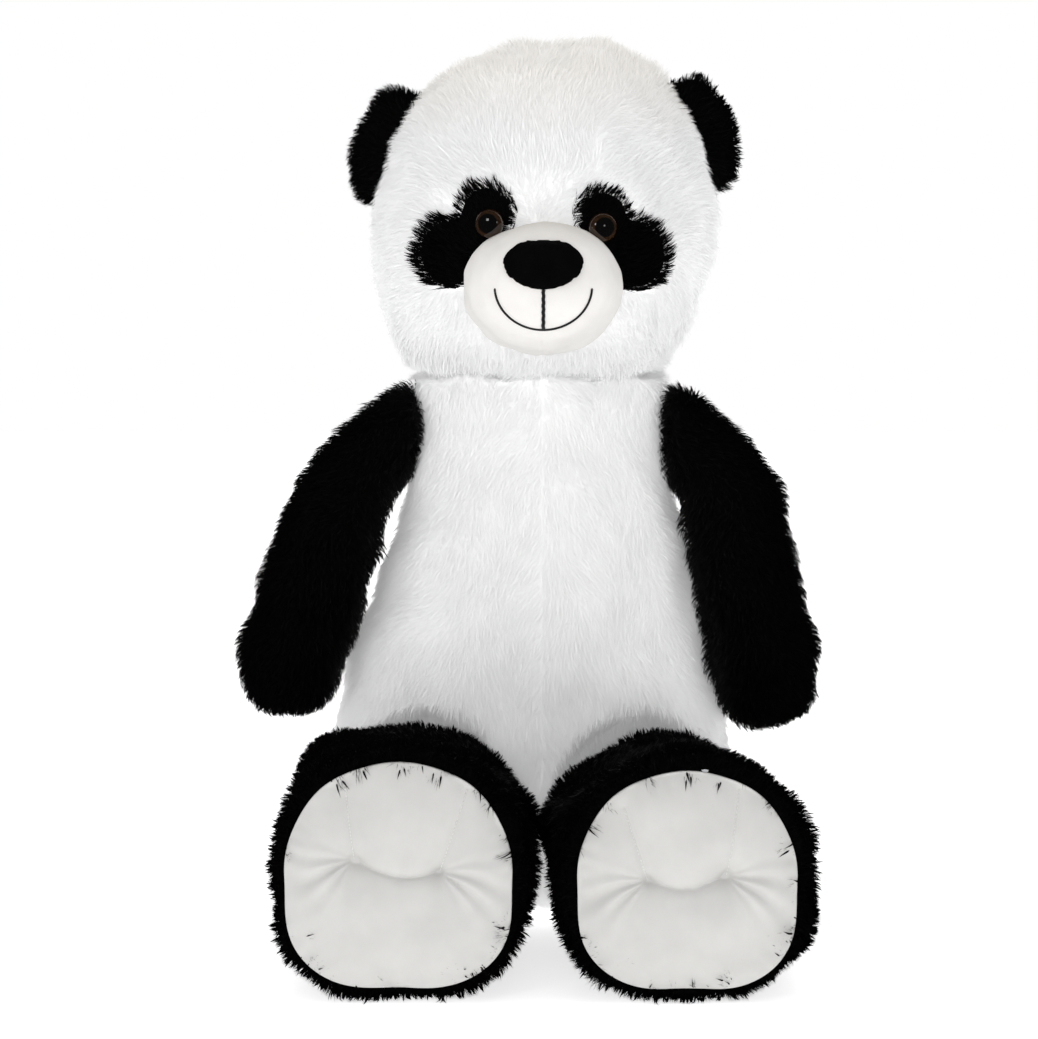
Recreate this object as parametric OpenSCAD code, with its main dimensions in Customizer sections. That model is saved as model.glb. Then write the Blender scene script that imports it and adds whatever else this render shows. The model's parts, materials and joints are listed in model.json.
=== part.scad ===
/* [Head] */
// Widest width of the head over its pile
head_w = 396; // [385:1:405]
// Depth of the head from brow to back, without the muzzle
head_d = 344; // [330:1:355]
// Height of the crown above the floor
crown_z = 989; // [980:1:998]

/* [Torso] */
// Widest width of the torso over its pile
torso_w = 464; // [450:1:475]
// Depth of the torso from belly to back
torso_d = 350; // [340:1:360]

/* [Fabric] */
// Thickness of the long-pile fabric with its pile pressed flat
pile_t = 10; // [8:0.5:12]
// Thickness of the short-pile fabric of the muzzle and nose
velour_t = 3; // [2:0.5:4]
// Gap between the fabric and the stuffing that fills it
gap = 0.5; // [0.3:0.1:0.8]

/* [Neck] */
// Height of the point that the head turns and nods about
neck_z = 602; // [600:1:604]
// Radius of the ball of stuffing in the neck opening
neck_ball_r = 56; // [50:1:57]

/* [Muzzle] */
// Width of the muzzle
muzzle_w = 176; // [166:1:180]
// Height of the muzzle
muzzle_h = 146; // [138:1:150]
// Distance that the muzzle stands forward of the face
muzzle_reach = 82; // [70:1:90]
// Width of the nose
nose_w = 86; // [78:1:92]

/* [Eyes] */
// Diameter of the plastic eye
eye_d = 30; // [24:1:32]
// Distance of each eye from the middle of the face
eye_x = 62; // [60:0.5:66]
// Height of the eyes above the floor
eye_z = 777; // [773:1:782]

/* [Ears] */
// Length of the ear along the seam that joins it to the head
ear_len = 138; // [125:1:145]
// Distance that the ear stands out from that seam
ear_reach = 46; // [40:1:50]
// Thickness of the ear
ear_t = 44; // [38:1:48]

/* [Feet] */
// Diameter of the round sole
sole_d = 226; // [218:1:230]
// Thickness of the padded sole
sole_t = 8; // [6:0.5:9]

/* [Hidden] */
$fn = 48;

// Colours of the fabrics, plastic and thread
WHITE = "white";
BLACK = [0.06, 0.06, 0.07];
CREAM = [0.95, 0.93, 0.9];
FIBRE = [0.9, 0.92, 0.96];

// Steps of a skin: around the torso and head, around a limb, around a small piece, and
// from one end to the other
AROUND = 32;
AROUND_LIMB = 20;
AROUND_SMALL = 24;
ALONG = 12;
// Width of the hole that is left where the seams of a closed end meet
POLE = 1.5;
// Step used to measure the slope of an outline
NEAR = 0.05;

// Torso outline, from the seat to the neck opening: height, then the shares of the
// half-width, the front half-depth and the back half-depth
TORSO = [for (r = [
    [0, 0.74, 0.69, 0.78], [14, 0.86, 0.85, 0.89], [45, 0.955, 0.95, 0.96],
    [100, 1, 0.99, 1], [170, 1, 1.01, 1], [235, 0.98, 1, 0.98], [300, 0.915, 0.95, 0.94],
    [360, 0.832, 0.88, 0.88], [420, 0.746, 0.8, 0.81], [480, 0.66, 0.725, 0.74],
    [530, 0.604, 0.655, 0.68], [563, 0.565, 0.59, 0.62], [580, 0.525, 0.53, 0.56],
    [588, 0.47, 0.46, 0.49], [591.6, 0.386, 0.385, 0.41], [595.2, 0.267, 0.354, 0.354]
]) [r[0], r[1] * torso_w / 2, r[2] * torso_d / 2, r[3] * torso_d / 2]];

// Head outline, from the neck opening to the crown, in the same form. The height is a
// share of the way from the neck to the crown.
HEAD = [for (r = [
    [0.0173, 0.313, 0.36, 0.36], [0.028, 0.48, 0.5, 0.52], [0.039, 0.616, 0.62, 0.66],
    [0.058, 0.715, 0.73, 0.765], [0.1, 0.8, 0.83, 0.86], [0.165, 0.872, 0.91, 0.935],
    [0.245, 0.935, 0.965, 0.98], [0.345, 0.985, 0.995, 1], [0.45, 1, 1, 1.005],
    [0.555, 0.982, 0.985, 0.99], [0.66, 0.928, 0.945, 0.955], [0.765, 0.85, 0.87, 0.885],
    [0.85, 0.757, 0.775, 0.795], [0.918, 0.635, 0.65, 0.67], [0.966, 0.46, 0.48, 0.5],
    [0.991, 0.255, 0.27, 0.28], [1, POLE * 2 / head_w, POLE * 2 / head_d, POLE * 2 / head_d]
]) [neck_z + r[0] * (crown_z - neck_z), r[1] * head_w / 2, r[2] * head_d / 2, r[3] * head_d / 2]];

// Joint centres of the left arm and leg
NECK = [0, 0, neck_z];
SHOULDER = [150, -5, 545];
HIP = [137, -150, 118];
// Rows of a limb: the centre of the section, then its two radii
LEFT_ARM = [
    [SHOULDER.x, SHOULDER.y, SHOULDER.z, 60, 60], [190, -22, 520, 50, 52],
    [222, -42, 470, 54, 58], [241, -58, 410, 57, 62], [254, -69, 350, 60, 66],
    [267, -78, 295, 60, 66], [274, -83, 258, 56, 60]
];
PAW_LEN = 46;
LEFT_LEG = [
    [HIP.x, HIP.y, HIP.z, 114, 114], [138, -220, 119, 117, 117], [139, -300, 120, 118, 118],
    [139, -380, 122, 119, 120], [138.5, -435, 126, 123, 124], [138, -468, 130.5, 127.5, 129.5],
    [138, -486, 131, 127, 129], [138, -494, 131, 119, 121]
];
// How far the leg can be lifted, in degrees
LEG_LIFT = 25;
// Play between a ball and the socket that it turns in. The armhole has more.
PLAY = 1;
ARM_PLAY = 6;
// Share of a skin's radius that its flat facets leave free inside
FACET = 0.94;

// Ear: middle of the hinge line, its lean from upright, and the gap from it to the ear
EAR = [179, 15, 878];
EAR_LEAN = 18;
EAR_GAP = 6;

// Muzzle, nose and mouth: heights above the floor
MUZZLE_Z = 708;
NOSE_Z = 735;
NOSE_H = 54;
NOSE_PUFF = 17;
MOUTH_R = 1.4;

// Eye patch: middle, the two half-lengths of its oval and its lean
PATCH = [84, 765];
PATCH_LONG = 72;
PATCH_WIDE = 50;
PATCH_LEAN = 132;
PATCH_T = 8;
// Space kept between a faceted skin and what lies on it
OFF_SKIN = 1.2;

EYE_TURN = 14;
SHANK_R = 2.5;
SHANK_LEN = 24;
WASHER_R = 11;

// A smooth curve through the rows of a table, at place t from 0 to the last row
function along(rows, t) =
    let (n = len(rows) - 1, i = max(0, min(floor(t), n - 1)), s = t - i,
         p0 = rows[max(i - 1, 0)], p1 = rows[i], p2 = rows[i + 1], p3 = rows[min(i + 2, n)])
    (2 * p1 + (p2 - p0) * s + (2 * p0 - 5 * p1 + 4 * p2 - p3) * s * s
        + (3 * p1 - p0 - 3 * p2 + p3) * s * s * s) / 2;

function slope(rows, t) =
    along(rows, min(t + NEAR, len(rows) - 1)) - along(rows, max(t - NEAR, 0));

// The same outline a distance w inside the first one
function inside(rows, t, w) =
    let (p = along(rows, t), d = slope(rows, t))
    [p[0] + w * d[1] / norm([d[0], d[1]]),
     max(POLE, p[1] - w * d[0] / norm([d[0], d[1]])),
     max(POLE, p[2] - w * d[0] / norm([d[0], d[2]])),
     max(POLE, p[3] - w * d[0] / norm([d[0], d[3]]))];

// Points around an oval section with its own front and back half-depths
function section(row, a0, a1) =
    let (n = round(AROUND * (a1 - a0) / 360))
    [for (k = [0:n]) let (a = a0 + (a1 - a0) * k / n)
        [row[1] * cos(a), (sin(a) < 0 ? row[2] : row[3]) * sin(a), row[0]]];

// Sections of an outline from one end to the other, w inside it
function sections(rows, a0, a1, w) =
    [for (i = [0:ALONG + 2])
        section(inside(rows, (len(rows) - 1) * i / (ALONG + 2), w), a0, a1)];

function unit(v) = v / norm(v);
function flat(lists) = [for (l = lists) for (p = l) p];
function quad(a, b, c, d) = [[a, b, c], [a, c, d]];

// Sections of a limb, w inside it: a ball at its start, its rows, and a round end of
// length tip if it has one. side is the direction across the limb that its seams keep to.
function limb_ring(centre, dir, r1, r2, side, a0, a1) =
    let (e1 = unit(cross(side, dir)), e2 = cross(dir, e1), n = round(AROUND_LIMB * (a1 - a0) / 360))
    [for (k = [0:n]) let (a = a0 + (a1 - a0) * k / n)
        centre + e1 * r1 * cos(a) + e2 * r2 * sin(a)];

function limb(rows, w, side, a0, a1, tip, ball = true) =
    let (n = len(rows) - 1,
         at = function (t) let (r = along(rows, t)) [r[0], r[1], r[2]],
         dir = function (t) unit(at(min(t + NEAR, n)) - at(max(t - NEAR, 0))),
         r0 = rows[0][3] - w, last = rows[n])
    concat(
        ball ? [for (f = [0.02, 0.28, 0.53, 0.77])
            limb_ring(at(0) - dir(0) * r0 * cos(90 * f), dir(0), r0 * sin(90 * f),
                      r0 * sin(90 * f), side, a0, a1)] : [],
        [for (i = [ball ? 0 : 1:ALONG]) let (t = n * i / ALONG, r = along(rows, t))
            limb_ring(at(t), dir(t), r[3] - w, r[4] - w, side, a0, a1)],
        tip > 0 ? [for (f = [0.25, 0.5, 0.75, 0.98])
            limb_ring(at(n) + dir(n) * (tip - w) * sin(90 * f), dir(n), (last[3] - w) * cos(90 * f),
                      (last[4] - w) * cos(90 * f), side, a0, a1)] : []);

// Closed solid between two grids of points that share their open edges
module panel(outer, inner) {
    m = len(outer);
    n = len(outer[0]);
    o = function (i, k) i * n + k;
    q = function (i, k) m * n + i * n + k;
    polyhedron(concat(flat(outer), flat(inner)), flat(concat(
        [for (i = [0:m - 2], k = [0:n - 2])
            quad(o(i, k), o(i + 1, k), o(i + 1, k + 1), o(i, k + 1))],
        [for (i = [0:m - 2], k = [0:n - 2])
            quad(q(i, k), q(i, k + 1), q(i + 1, k + 1), q(i + 1, k))],
        [for (i = [0:m - 2]) quad(o(i, 0), q(i, 0), q(i + 1, 0), o(i + 1, 0))],
        [for (i = [0:m - 2]) quad(o(i, n - 1), o(i + 1, n - 1), q(i + 1, n - 1), q(i, n - 1))],
        [for (k = [0:n - 2]) quad(o(0, k), o(0, k + 1), q(0, k + 1), q(0, k))],
        [for (k = [0:n - 2]) quad(o(m - 1, k), q(m - 1, k), q(m - 1, k + 1), o(m - 1, k + 1))]
    )));
}

// Closed solid through whole rings, each of which ends where it began
module filling(rings) {
    m = len(rings);
    n = len(rings[0]) - 1;
    p = function (i, k) i * n + k % n;
    polyhedron([for (r = rings) for (k = [0:n - 1]) r[k]], concat(
        flat([for (i = [0:m - 2], k = [0:n - 1])
            quad(p(i, k), p(i + 1, k), p(i + 1, k + 1), p(i, k + 1))]),
        [[for (k = [0:n - 1]) k]],
        [[for (k = [n - 1:-1:0]) p(m - 1, k)]]
    ));
}

// Closed cup between whole rings, open at the first ring
module cup(outer, inner) {
    m = len(outer);
    n = len(outer[0]) - 1;
    o = function (i, k) i * n + k % n;
    q = function (i, k) m * n + i * n + k % n;
    polyhedron(concat([for (r = outer) for (k = [0:n - 1]) r[k]],
                      [for (r = inner) for (k = [0:n - 1]) r[k]]), concat(
        flat([for (i = [0:m - 2], k = [0:n - 1])
            quad(o(i, k), o(i + 1, k), o(i + 1, k + 1), o(i, k + 1))]),
        flat([for (i = [0:m - 2], k = [0:n - 1])
            quad(q(i, k), q(i, k + 1), q(i + 1, k + 1), q(i + 1, k))]),
        flat([for (k = [0:n - 1]) quad(o(0, k), o(0, k + 1), q(0, k + 1), q(0, k))]),
        [[for (k = [n - 1:-1:0]) o(m - 1, k)]],
        [[for (k = [0:n - 1]) q(m - 1, k)]]
    ));
}

// Place in an outline at which it reaches height z
function place_at(rows, z, lo, hi, steps) =
    let (mid = (lo + hi) / 2)
    steps == 0 ? mid
        : along(rows, mid)[0] < z ? place_at(rows, z, mid, hi, steps - 1)
        : place_at(rows, z, lo, mid, steps - 1);

// Front or back surface of a skin at (x, z)
function face_y(x, z) =
    let (r = along(HEAD, place_at(HEAD, z, 0, len(HEAD) - 1, 20)))
    -r[2] * sqrt(max(0, 1 - pow(x / r[1], 2)));
function back_y(z) = along(TORSO, place_at(TORSO, z, 0, len(TORSO) - 1, 20))[3];

// Muzzle surface at (x, z), w inside it. It rises from the face as a dome.
function muzzle_share(x, z, w) =
    norm([x / (muzzle_w / 2 - w), (z - MUZZLE_Z) / (muzzle_h / 2 - w)]);
function muzzle_y(x, z, w = 0) =
    let (q = sqrt(max(0, 1 - pow(min(1, muzzle_share(x, z, w)), 2.6))),
         foot = face_y(x, z) - OFF_SKIN, tip = face_y(0, MUZZLE_Z) - muzzle_reach + w)
    foot + (tip - foot) * q;
function muzzle_ring(c, w) =
    [for (k = [0:AROUND_SMALL]) let (a = 360 * k / AROUND_SMALL)
        [(muzzle_w / 2 - w) * c * cos(a), MUZZLE_Z + (muzzle_h / 2 - w) * c * sin(a)]];
function muzzle_rings(w) =
    [for (s = [0, 0.06, 0.16, 0.3, 0.46, 0.64, 0.82, 0.98])
        [for (p = muzzle_ring(cos(90 * s), w)) [p[0], muzzle_y(p[0], p[1], w), p[1]]]];
// Rings of the muzzle's back, which lies on the face
function muzzle_back(w) =
    [for (c = [0.05, 0.4, 0.75])
        [for (p = muzzle_ring(c, w)) [p[0], face_y(p[0], p[1]) - OFF_SKIN, p[1]]]];

// Nose outline: a wide oval that narrows to a blunt point below
function nose_ring(c, w) =
    [for (k = [0:AROUND_SMALL]) let (a = 360 * k / AROUND_SMALL, low = max(0, -sin(a)),
        x = (nose_w / 2 - w) * c * cos(a) * (1 - 0.22 * low),
        z = NOSE_Z + (NOSE_H / 2 - w) * c * sin(a) * (1 + 0.08 * low))
        [x, z]];
function nose_rings(w) =
    [for (s = [0, 0.1, 0.25, 0.45, 0.7, 0.96]) let (c = cos(90 * s), lift = sin(90 * s))
        [for (p = nose_ring(c, w))
            [p[0], muzzle_y(p[0], p[1]) - OFF_SKIN - (NOSE_PUFF - w) * lift, p[1]]]];
// Rings of the nose's back, which lies on the muzzle
function nose_back(w) =
    [for (c = [0.06, 0.5]) [for (p = nose_ring(c, w)) [p[0], muzzle_y(p[0], p[1]) - OFF_SKIN, p[1]]]];

// Eye patch: an oval that leans outwards and lies on the face
function patch_ring(c, lift) =
    [for (k = [0:AROUND_SMALL]) let (a = 360 * k / AROUND_SMALL,
        u = PATCH_LONG * c * cos(a), v = PATCH_WIDE * c * sin(a),
        x = PATCH.x + u * cos(PATCH_LEAN) - v * sin(PATCH_LEAN),
        z = PATCH.y + u * sin(PATCH_LEAN) + v * cos(PATCH_LEAN))
        [x, face_y(x, z) - OFF_SKIN - lift, z]];

// Left and right pieces share one shape
module sided(side) {
    if (side == "left") children();
    else mirror([1, 0, 0]) children();
}

// Space that a leg needs as it is lifted
module leg_space() {
    r = LEFT_LEG[0][3] + PLAY;
    translate(HIP) sphere(r);
    hull() for (lift = [0, LEG_LIFT]) translate(HIP) rotate([-lift, 0, 0]) {
        rotate([90, 0, 0]) cylinder(r = r + 3, h = 120, $fn = 32);
    }
}

module torso_spaces(sides) {
    for (side = sides) sided(side) {
        leg_space();
        translate(SHOULDER) sphere(LEFT_ARM[0][3] + ARM_PLAY);
    }
}

module torso_panel(a0, a1, side) {
    color(WHITE) difference() {
        panel(sections(TORSO, a0, a1, 0), sections(TORSO, a0, a1, pile_t));
        translate([-torso_w, -torso_w, -pile_t * 2]) cube([torso_w * 2, torso_w * 2, pile_t * 2]);
        torso_spaces([side]);
    }
}

module torso_front_left_panel() torso_panel(-90, 0, "left");
module torso_back_left_panel() torso_panel(0, 90, "left");
module torso_back_right_panel() torso_panel(90, 180, "right");
module torso_front_right_panel() torso_panel(180, 270, "right");

// Flat underside, inside the lowest edge of the torso panels
module seat_base_panel() {
    color(WHITE) difference() {
        linear_extrude(pile_t) polygon([for (p = section(
            [0, TORSO[0][1] - pile_t, TORSO[0][2] - pile_t, TORSO[0][3] - pile_t] - [0, gap, gap, gap],
            0, 360)) [p.x, p.y]]);
        torso_spaces(["left", "right"]);
    }
}

module torso_stuffing() {
    color(FIBRE) difference() {
        filling(sections(TORSO, 0, 360, pile_t + gap));
        translate([-torso_w, -torso_w, -pile_t]) cube([torso_w * 2, torso_w * 2, pile_t * 2 + gap]);
        translate(NECK) sphere(neck_ball_r + PLAY);
        torso_spaces(["left", "right"]);
    }
}

// Ladder of hand stitches that closes the back seam after filling
module back_closing_stitches() {
    color(CREAM) for (z = [210:12:342])
        translate([-7, back_y(z) + 1, z]) rotate([0, 90, 0]) cylinder(r = 0.8, h = 14, $fn = 16);
}

module tail() {
    tail_z = 95;
    tail_r = 34;
    color(WHITE) translate([0, back_y(tail_z) + OFF_SKIN, tail_z]) rotate([-90, 0, 0])
        rotate_extrude() union() {
            square([tail_r, 12]);
            intersection() {
                translate([0, 12]) circle(tail_r);
                translate([0, 11]) square(tail_r + 1);
            }
        }
}

// Blank woven tab in the left side of the back seam
module care_label() {
    label_z = 150;
    color(CREAM) translate([2, back_y(label_z) + OFF_SKIN, label_z]) cube([1.2, 22, 34]);
}

module neck_stuffing() {
    color(FIBRE) translate(NECK) sphere(neck_ball_r);
}

// Holes for the shanks and room for the washers of both eyes
module eye_frame(side) {
    sided(side) translate([eye_x, face_y(eye_x, eye_z) - OFF_SKIN - PATCH_T, eye_z])
        rotate([0, 0, EYE_TURN]) rotate([90, 0, 0]) children();
}

module head_panel(a0, a1) {
    color(WHITE) panel(sections(HEAD, a0, a1, 0), sections(HEAD, a0, a1, pile_t));
}

module face_panel() {
    color(WHITE) difference() {
        head_panel(180, 360);
        for (side = ["left", "right"]) eye_frame(side)
            translate([0, 0, -SHANK_LEN]) cylinder(r = SHANK_R + gap, h = SHANK_LEN + 10);
    }
}

module head_back_left_panel() head_panel(0, 90);
module head_back_right_panel() head_panel(90, 180);

module head_stuffing() {
    color(FIBRE) difference() {
        filling(sections(HEAD, 0, 360, pile_t + gap));
        translate(NECK) sphere(neck_ball_r + PLAY);
        for (side = ["left", "right"]) eye_frame(side)
            translate([0, 0, -SHANK_LEN - 4]) cylinder(r = WASHER_R + 1, h = SHANK_LEN + 4);
    }
}

module eye_patch(side) {
    color(BLACK) difference() {
        sided(side) filling(concat(
            [for (c = [0.05, 0.35, 0.7, 0.9]) patch_ring(c, 0)],
            [patch_ring(1, PATCH_T * 0.3), patch_ring(0.98, PATCH_T * 0.7)],
            [for (c = [0.88, 0.7, 0.35, 0.05]) patch_ring(c, PATCH_T)]
        ));
        rotate([90, 0, 0]) linear_extrude(head_d) polygon(muzzle_ring(1, -PLAY));
        eye_frame(side) translate([0, 0, -SHANK_LEN]) cylinder(r = SHANK_R + gap, h = SHANK_LEN + 20);
    }
}
module left_eye_patch() eye_patch("left");
module right_eye_patch() eye_patch("right");

// Plastic eye with its shank in one piece
module eye(side) {
    dome = eye_d / 2;
    color(BLACK) eye_frame(side) rotate_extrude() union() {
        translate([0, -SHANK_LEN]) square([SHANK_R, SHANK_LEN + 2]);
        translate([0, 1]) square([dome, 2]);
        intersection() {
            translate([0, 3 - dome * 0.6]) circle(norm([dome, dome * 0.6]));
            translate([0, 2.9]) square(dome);
        }
    }
}
module left_eye() eye("left");
module right_eye() eye("right");

// Washer that grips the shank behind the fabric
module eye_washer(side) {
    color(CREAM) eye_frame(side) translate([0, 0, -SHANK_LEN + 1]) difference() {
        cylinder(r = WASHER_R, h = 2);
        translate([0, 0, -1]) cylinder(r = SHANK_R + 0.05, h = 4);
    }
}
module left_eye_washer() eye_washer("left");
module right_eye_washer() eye_washer("right");

module muzzle_cover() {
    color(CREAM) cup(muzzle_rings(0), muzzle_rings(velour_t));
}

module muzzle_stuffing() {
    color(FIBRE) filling(concat(muzzle_back(velour_t + gap), muzzle_rings(velour_t + gap)));
}

module nose_cover() {
    color(BLACK) cup(nose_rings(0), nose_rings(velour_t));
}

module nose_stuffing() {
    color(FIBRE) filling(concat(nose_back(velour_t + gap), nose_rings(velour_t + gap)));
}

// A thread of stitches laid on the muzzle along points (x, z)
module muzzle_thread(points) {
    n = len(points) - 1;
    filling([for (i = [0:n]) let (
        d = unit(points[min(i + 1, n)] - points[max(i - 1, 0)]),
        centre = [points[i][0], muzzle_y(points[i][0], points[i][1]) - MOUTH_R - 0.3, points[i][1]])
        [for (k = [0:8]) let (a = 45 * k)
            centre + MOUTH_R * (cos(a) * [d[1], 0, -d[0]] + sin(a) * [0, -1, 0])]]);
}

// Mouth: a smile as an arc and a line from the nose down to it
module mouth_embroidery() {
    smile_w = 104;
    smile_h = 47;
    low = 664;
    color(BLACK) {
        muzzle_thread([for (i = [0:24]) let (x = smile_w * (i / 24 - 0.5))
            [x, low + smile_h * (1 - sqrt(max(0, 1 - pow(x / (smile_w / 2 + 1.5), 2))))]]);
        muzzle_thread([for (i = [0:5]) [0, low + 2 * MOUTH_R + 0.6 + 7 * i]]);
    }
}

// Ear, standing up from its hinge line: an oval cushion whose sections shrink to its ends
function ear_ring(s, w, a0, a1) =
    let (bow = sqrt(1 - s * s), reach = (ear_reach - EAR_GAP) / 2, n = round(16 * (a1 - a0) / 360))
    [for (k = [0:n]) let (a = a0 + (a1 - a0) * k / n)
        [EAR_GAP + reach * bow + max(POLE, reach * bow - w) * cos(a),
         max(POLE, ear_t / 2 * sqrt(bow) - w) * sin(a), (ear_len / 2 - w) * s]];
function ear_rings(w, a0, a1) = [for (a = [-82:20.5:82]) ear_ring(sin(a), w, a0, a1)];

module ear_frame(side) {
    sided(side) translate(EAR) rotate([0, -EAR_LEAN, 0]) children();
}

module ear_panel(side, a0, a1) {
    color(BLACK) ear_frame(side) panel(ear_rings(0, a0, a1), ear_rings(pile_t * 0.6, a0, a1));
}
module ear_stuffing(side) {
    color(FIBRE) ear_frame(side) filling(ear_rings(pile_t * 0.6 + gap, 0, 360));
}
module left_ear_front_panel() ear_panel("left", 180, 360);
module left_ear_back_panel() ear_panel("left", 0, 180);
module left_ear_stuffing() ear_stuffing("left");
module right_ear_front_panel() ear_panel("right", 180, 360);
module right_ear_back_panel() ear_panel("right", 0, 180);
module right_ear_stuffing() ear_stuffing("right");

// Ball of stuffing at the top of an arm or a leg, loose enough to turn in its skin
module limb_ball(rows, side) {
    color(FIBRE) sided(side) translate([rows[0][0], rows[0][1], rows[0][2]])
        sphere((rows[0][3] - pile_t) * FACET - PLAY / 2);
}

module limb_panel(rows, side, across, a0, a1, tip) {
    color(BLACK) sided(side)
        panel(limb(rows, 0, across, a0, a1, tip), limb(rows, pile_t, across, a0, a1, tip));
}

// Stuffing below the ball, which leaves the ball free to turn
module limb_stuffing(rows, side, across, tip) {
    color(FIBRE) sided(side) difference() {
        filling(limb(rows, pile_t + gap, across, 0, 360, tip, false));
        translate([rows[0][0], rows[0][1], rows[0][2]]) sphere(rows[0][3] - pile_t - PLAY);
    }
}

ARM_ACROSS = [0, 1, 0];
LEG_ACROSS = [0, 0, 1];

module left_shoulder_stuffing() limb_ball(LEFT_ARM, "left");
module left_arm_inner_panel() limb_panel(LEFT_ARM, "left", ARM_ACROSS, -90, 90, PAW_LEN);
module left_arm_outer_panel() limb_panel(LEFT_ARM, "left", ARM_ACROSS, 90, 270, PAW_LEN);
module left_arm_stuffing() limb_stuffing(LEFT_ARM, "left", ARM_ACROSS, PAW_LEN);
module right_shoulder_stuffing() limb_ball(LEFT_ARM, "right");
module right_arm_inner_panel() limb_panel(LEFT_ARM, "right", ARM_ACROSS, -90, 90, PAW_LEN);
module right_arm_outer_panel() limb_panel(LEFT_ARM, "right", ARM_ACROSS, 90, 270, PAW_LEN);
module right_arm_stuffing() limb_stuffing(LEFT_ARM, "right", ARM_ACROSS, PAW_LEN);

module left_hip_stuffing() limb_ball(LEFT_LEG, "left");
module left_leg_inner_panel() limb_panel(LEFT_LEG, "left", LEG_ACROSS, 90, 270, 0);
module left_leg_outer_panel() limb_panel(LEFT_LEG, "left", LEG_ACROSS, -90, 90, 0);
module left_leg_stuffing() limb_stuffing(LEFT_LEG, "left", LEG_ACROSS, 0);
module right_hip_stuffing() limb_ball(LEFT_LEG, "right");
module right_leg_inner_panel() limb_panel(LEFT_LEG, "right", LEG_ACROSS, 90, 270, 0);
module right_leg_outer_panel() limb_panel(LEFT_LEG, "right", LEG_ACROSS, -90, 90, 0);
module right_leg_stuffing() limb_stuffing(LEFT_LEG, "right", LEG_ACROSS, 0);

// Place of the sole: its frame has +Z forward, out of the foot
module sole_frame(side) {
    toe = LEFT_LEG[len(LEFT_LEG) - 1];
    sided(side) translate([toe[0], toe[1] - 0.3, toe[2]]) rotate([90, 0, 0]) children();
}

module sole_pad(side) {
    color(CREAM) sole_frame(side) rotate_extrude() union() {
        square([sole_d / 2, sole_t / 2]);
        square([sole_d / 2 - 4, sole_t]);
    }
}
module left_sole_pad() sole_pad("left");
module right_sole_pad() sole_pad("right");

// Two lines of thread on a sole that pull it in between the toes
module toe_stitches(side) {
    color(CREAM) sole_frame(side) for (s = [-1, 1])
        translate([s * 50, 93, sole_t + 0.8]) rotate([0, 0, s * 10]) rotate([90, 0, 0])
            cylinder(r = 0.8, h = 74, $fn = 16);
}
module left_toe_stitches() toe_stitches("left");
module right_toe_stitches() toe_stitches("right");

torso_front_left_panel();
torso_front_right_panel();
torso_back_left_panel();
torso_back_right_panel();
seat_base_panel();
torso_stuffing();
back_closing_stitches();
tail();
care_label();
neck_stuffing();
face_panel();
head_back_left_panel();
head_back_right_panel();
head_stuffing();
left_eye_patch();
right_eye_patch();
left_eye();
right_eye();
left_eye_washer();
right_eye_washer();
muzzle_cover();
muzzle_stuffing();
nose_cover();
nose_stuffing();
mouth_embroidery();
left_ear_front_panel();
left_ear_back_panel();
left_ear_stuffing();
right_ear_front_panel();
right_ear_back_panel();
right_ear_stuffing();
left_shoulder_stuffing();
left_arm_inner_panel();
left_arm_outer_panel();
left_arm_stuffing();
right_shoulder_stuffing();
right_arm_inner_panel();
right_arm_outer_panel();
right_arm_stuffing();
left_hip_stuffing();
left_leg_inner_panel();
left_leg_outer_panel();
left_leg_stuffing();
left_sole_pad();
left_toe_stitches();
right_hip_stuffing();
right_leg_inner_panel();
right_leg_outer_panel();
right_leg_stuffing();
right_sole_pad();
right_toe_stitches();
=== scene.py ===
import json
import math
from collections import defaultdict
from contextlib import contextmanager

import bmesh
import bpy
import numpy as np
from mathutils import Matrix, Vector
from mathutils.bvhtree import BVHTree
from mathutils.kdtree import KDTree

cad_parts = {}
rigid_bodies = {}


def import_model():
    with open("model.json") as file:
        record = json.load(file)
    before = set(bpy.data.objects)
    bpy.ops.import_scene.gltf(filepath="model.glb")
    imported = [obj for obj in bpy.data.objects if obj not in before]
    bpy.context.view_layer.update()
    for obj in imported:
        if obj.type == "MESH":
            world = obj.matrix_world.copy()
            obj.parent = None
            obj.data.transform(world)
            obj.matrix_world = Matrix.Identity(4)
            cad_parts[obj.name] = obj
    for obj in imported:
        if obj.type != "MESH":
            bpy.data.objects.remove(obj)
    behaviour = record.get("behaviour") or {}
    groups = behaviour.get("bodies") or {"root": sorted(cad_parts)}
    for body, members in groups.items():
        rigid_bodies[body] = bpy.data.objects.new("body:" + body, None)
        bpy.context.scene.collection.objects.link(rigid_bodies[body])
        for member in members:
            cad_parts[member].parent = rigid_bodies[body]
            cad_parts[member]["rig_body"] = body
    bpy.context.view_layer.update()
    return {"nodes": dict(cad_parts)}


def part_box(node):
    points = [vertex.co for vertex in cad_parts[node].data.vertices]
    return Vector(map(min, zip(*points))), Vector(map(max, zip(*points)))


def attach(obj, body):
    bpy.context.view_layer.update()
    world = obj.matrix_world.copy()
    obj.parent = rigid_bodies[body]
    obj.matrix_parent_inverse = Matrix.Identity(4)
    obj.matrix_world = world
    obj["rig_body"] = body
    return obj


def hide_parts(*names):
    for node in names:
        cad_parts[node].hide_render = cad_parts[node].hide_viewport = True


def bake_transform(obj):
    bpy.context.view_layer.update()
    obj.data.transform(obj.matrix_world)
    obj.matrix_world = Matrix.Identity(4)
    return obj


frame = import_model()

SEED = 428
SIDES = {"left": 1.0, "right": -1.0}
SIDE_SEED = {"left": 4, "right": 5}

scene = bpy.context.scene


# ---------------------------------------------------------------- camera and light

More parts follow.
